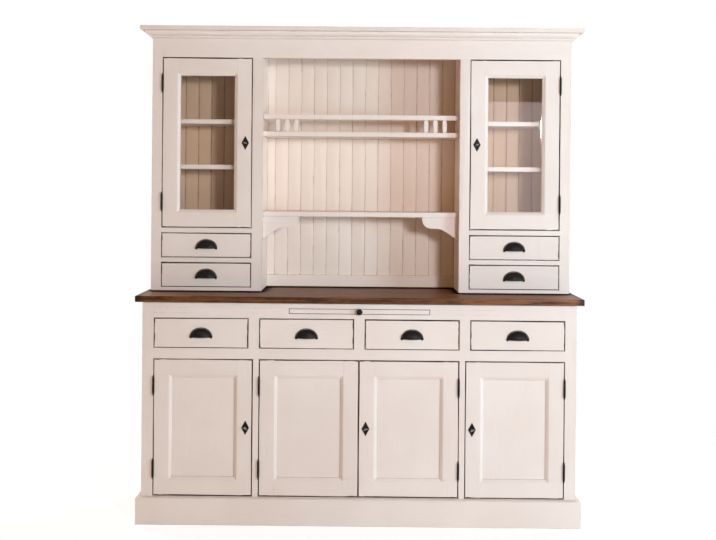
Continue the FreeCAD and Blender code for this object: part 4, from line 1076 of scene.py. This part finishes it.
def floor_material():
    """Pale floor, white to the camera but for the soft shade round the object."""
    shader = new_surface("studio_floor")
    plain = shader.add("BsdfDiffuse", None, {"Color": FLOOR_COLOUR})
    shaded = shader.add("BsdfDiffuse", None, {"Color": FLOOR_SHADE_COLOUR})
    glow = shader.add("Emission", None, {"Color": WHITE, "Strength": FLOOR_GLOW})
    seen_near = shader.add("AddShader", None, {0: shaded.outputs[0], 1: glow.outputs[0]})
    seen_far = shader.add("Emission", None, {"Color": WHITE, "Strength": 1.0})
    distance = shader.vector("LENGTH", shader.place(), (0.0, 0.0, 0.0), output="Value")
    seen = shader.add("MixShader", None, {
        0: shader.step(distance, FLOOR_NEAR, FLOOR_FAR), 1: seen_near.outputs[0], 2: seen_far.outputs[0]})
    surface = shader.add("MixShader", None, {
        0: background_share(shader), 1: plain.outputs[0], 2: seen.outputs[0]})
    return shader.finish(surface.outputs[0])


def make_floor():
    mesh = bpy.data.meshes.new("studio_floor")
    half = FLOOR_HALF
    corners = [(-half, -half, 0), (half, -half, 0), (half, half, 0), (-half, half, 0)]
    mesh.from_pydata(corners, [], [(0, 1, 2, 3)])
    mesh.materials.append(floor_material())
    floor = place_in_scene("studio_floor", mesh)


def make_world():
    """A warm fill on the object, and white wherever the surroundings themselves are seen."""
    shader = Shader(bpy.data.worlds.new("studio"), "OutputWorld")
    fill = shader.add("Background", None, {"Color": FILL_COLOUR, "Strength": FILL_STRENGTH})
    seen = shader.add("Background", None, {"Color": WHITE, "Strength": 1.0})
    surface = shader.add("MixShader", None, {
        0: background_share(shader), 1: fill.outputs[0], 2: seen.outputs[0]})
    bpy.context.scene.world = shader.finish(surface.outputs[0])


def make_lamp(name, place, aim, size, power, colour):
    lamp = bpy.data.lights.new(name, "AREA")
    lamp.shape = "DISK"
    lamp.size = size
    lamp.energy = power
    lamp.color = colour
    holder = place_in_scene(name, lamp)
    holder.location = place
    holder.rotation_euler = (aim - place).to_track_quat("-Z", "Y").to_euler()


def make_panel():
    """A pale panel beside the camera that only polished surfaces show."""
    lamp = bpy.data.lights.new("mirrored_panel", "AREA")
    lamp.shape = "RECTANGLE"
    lamp.size, lamp.size_y = PANEL_SIZE
    lamp.energy = PANEL_POWER
    lamp.color = PANEL_COLOUR
    holder = place_in_scene("mirrored_panel", lamp)
    holder.location = PANEL_PLACE
    holder.rotation_euler = (-QUARTER_TURN, 0, math.pi)
    holder.visible_diffuse = False
    holder.visible_camera = False


def make_camera():
    data = bpy.data.cameras.new("camera")
    data.sensor_width = SENSOR_WIDTH
    data.lens = FOCAL_PIXELS / FRAME_WIDTH * SENSOR_WIDTH
    data.shift_y = (HORIZON_PIXEL - FRAME_HEIGHT / 2) / FRAME_WIDTH
    camera = place_in_scene("camera", data)
    camera.location = CAMERA_PLACE
    turn = Matrix.Rotation(-CAMERA_YAW, 4, "Z") @ Matrix.Rotation(QUARTER_TURN, 4, "X")
    turn = turn @ Matrix.Rotation(CAMERA_ROLL, 4, "Z")
    camera.rotation_euler = turn.to_euler()
    bpy.context.scene.camera = camera


make_floor()
make_world()
make_lamp("key_lamp", KEY_PLACE, KEY_AIM, KEY_SIZE, KEY_POWER, KEY_COLOUR)
make_lamp("side_lamp", SIDE_PLACE, SIDE_AIM, SIDE_SIZE, SIDE_POWER, SIDE_COLOUR)
make_panel()
for number, (rear_place, rear_power) in enumerate(zip(REAR_PLACES, REAR_POWERS)):
    make_lamp(f"rear_lamp_{number}", rear_place, KEY_AIM, REAR_SIZE, rear_power, REAR_COLOUR)
make_camera()
bpy.context.scene.view_settings.view_transform = "Standard"
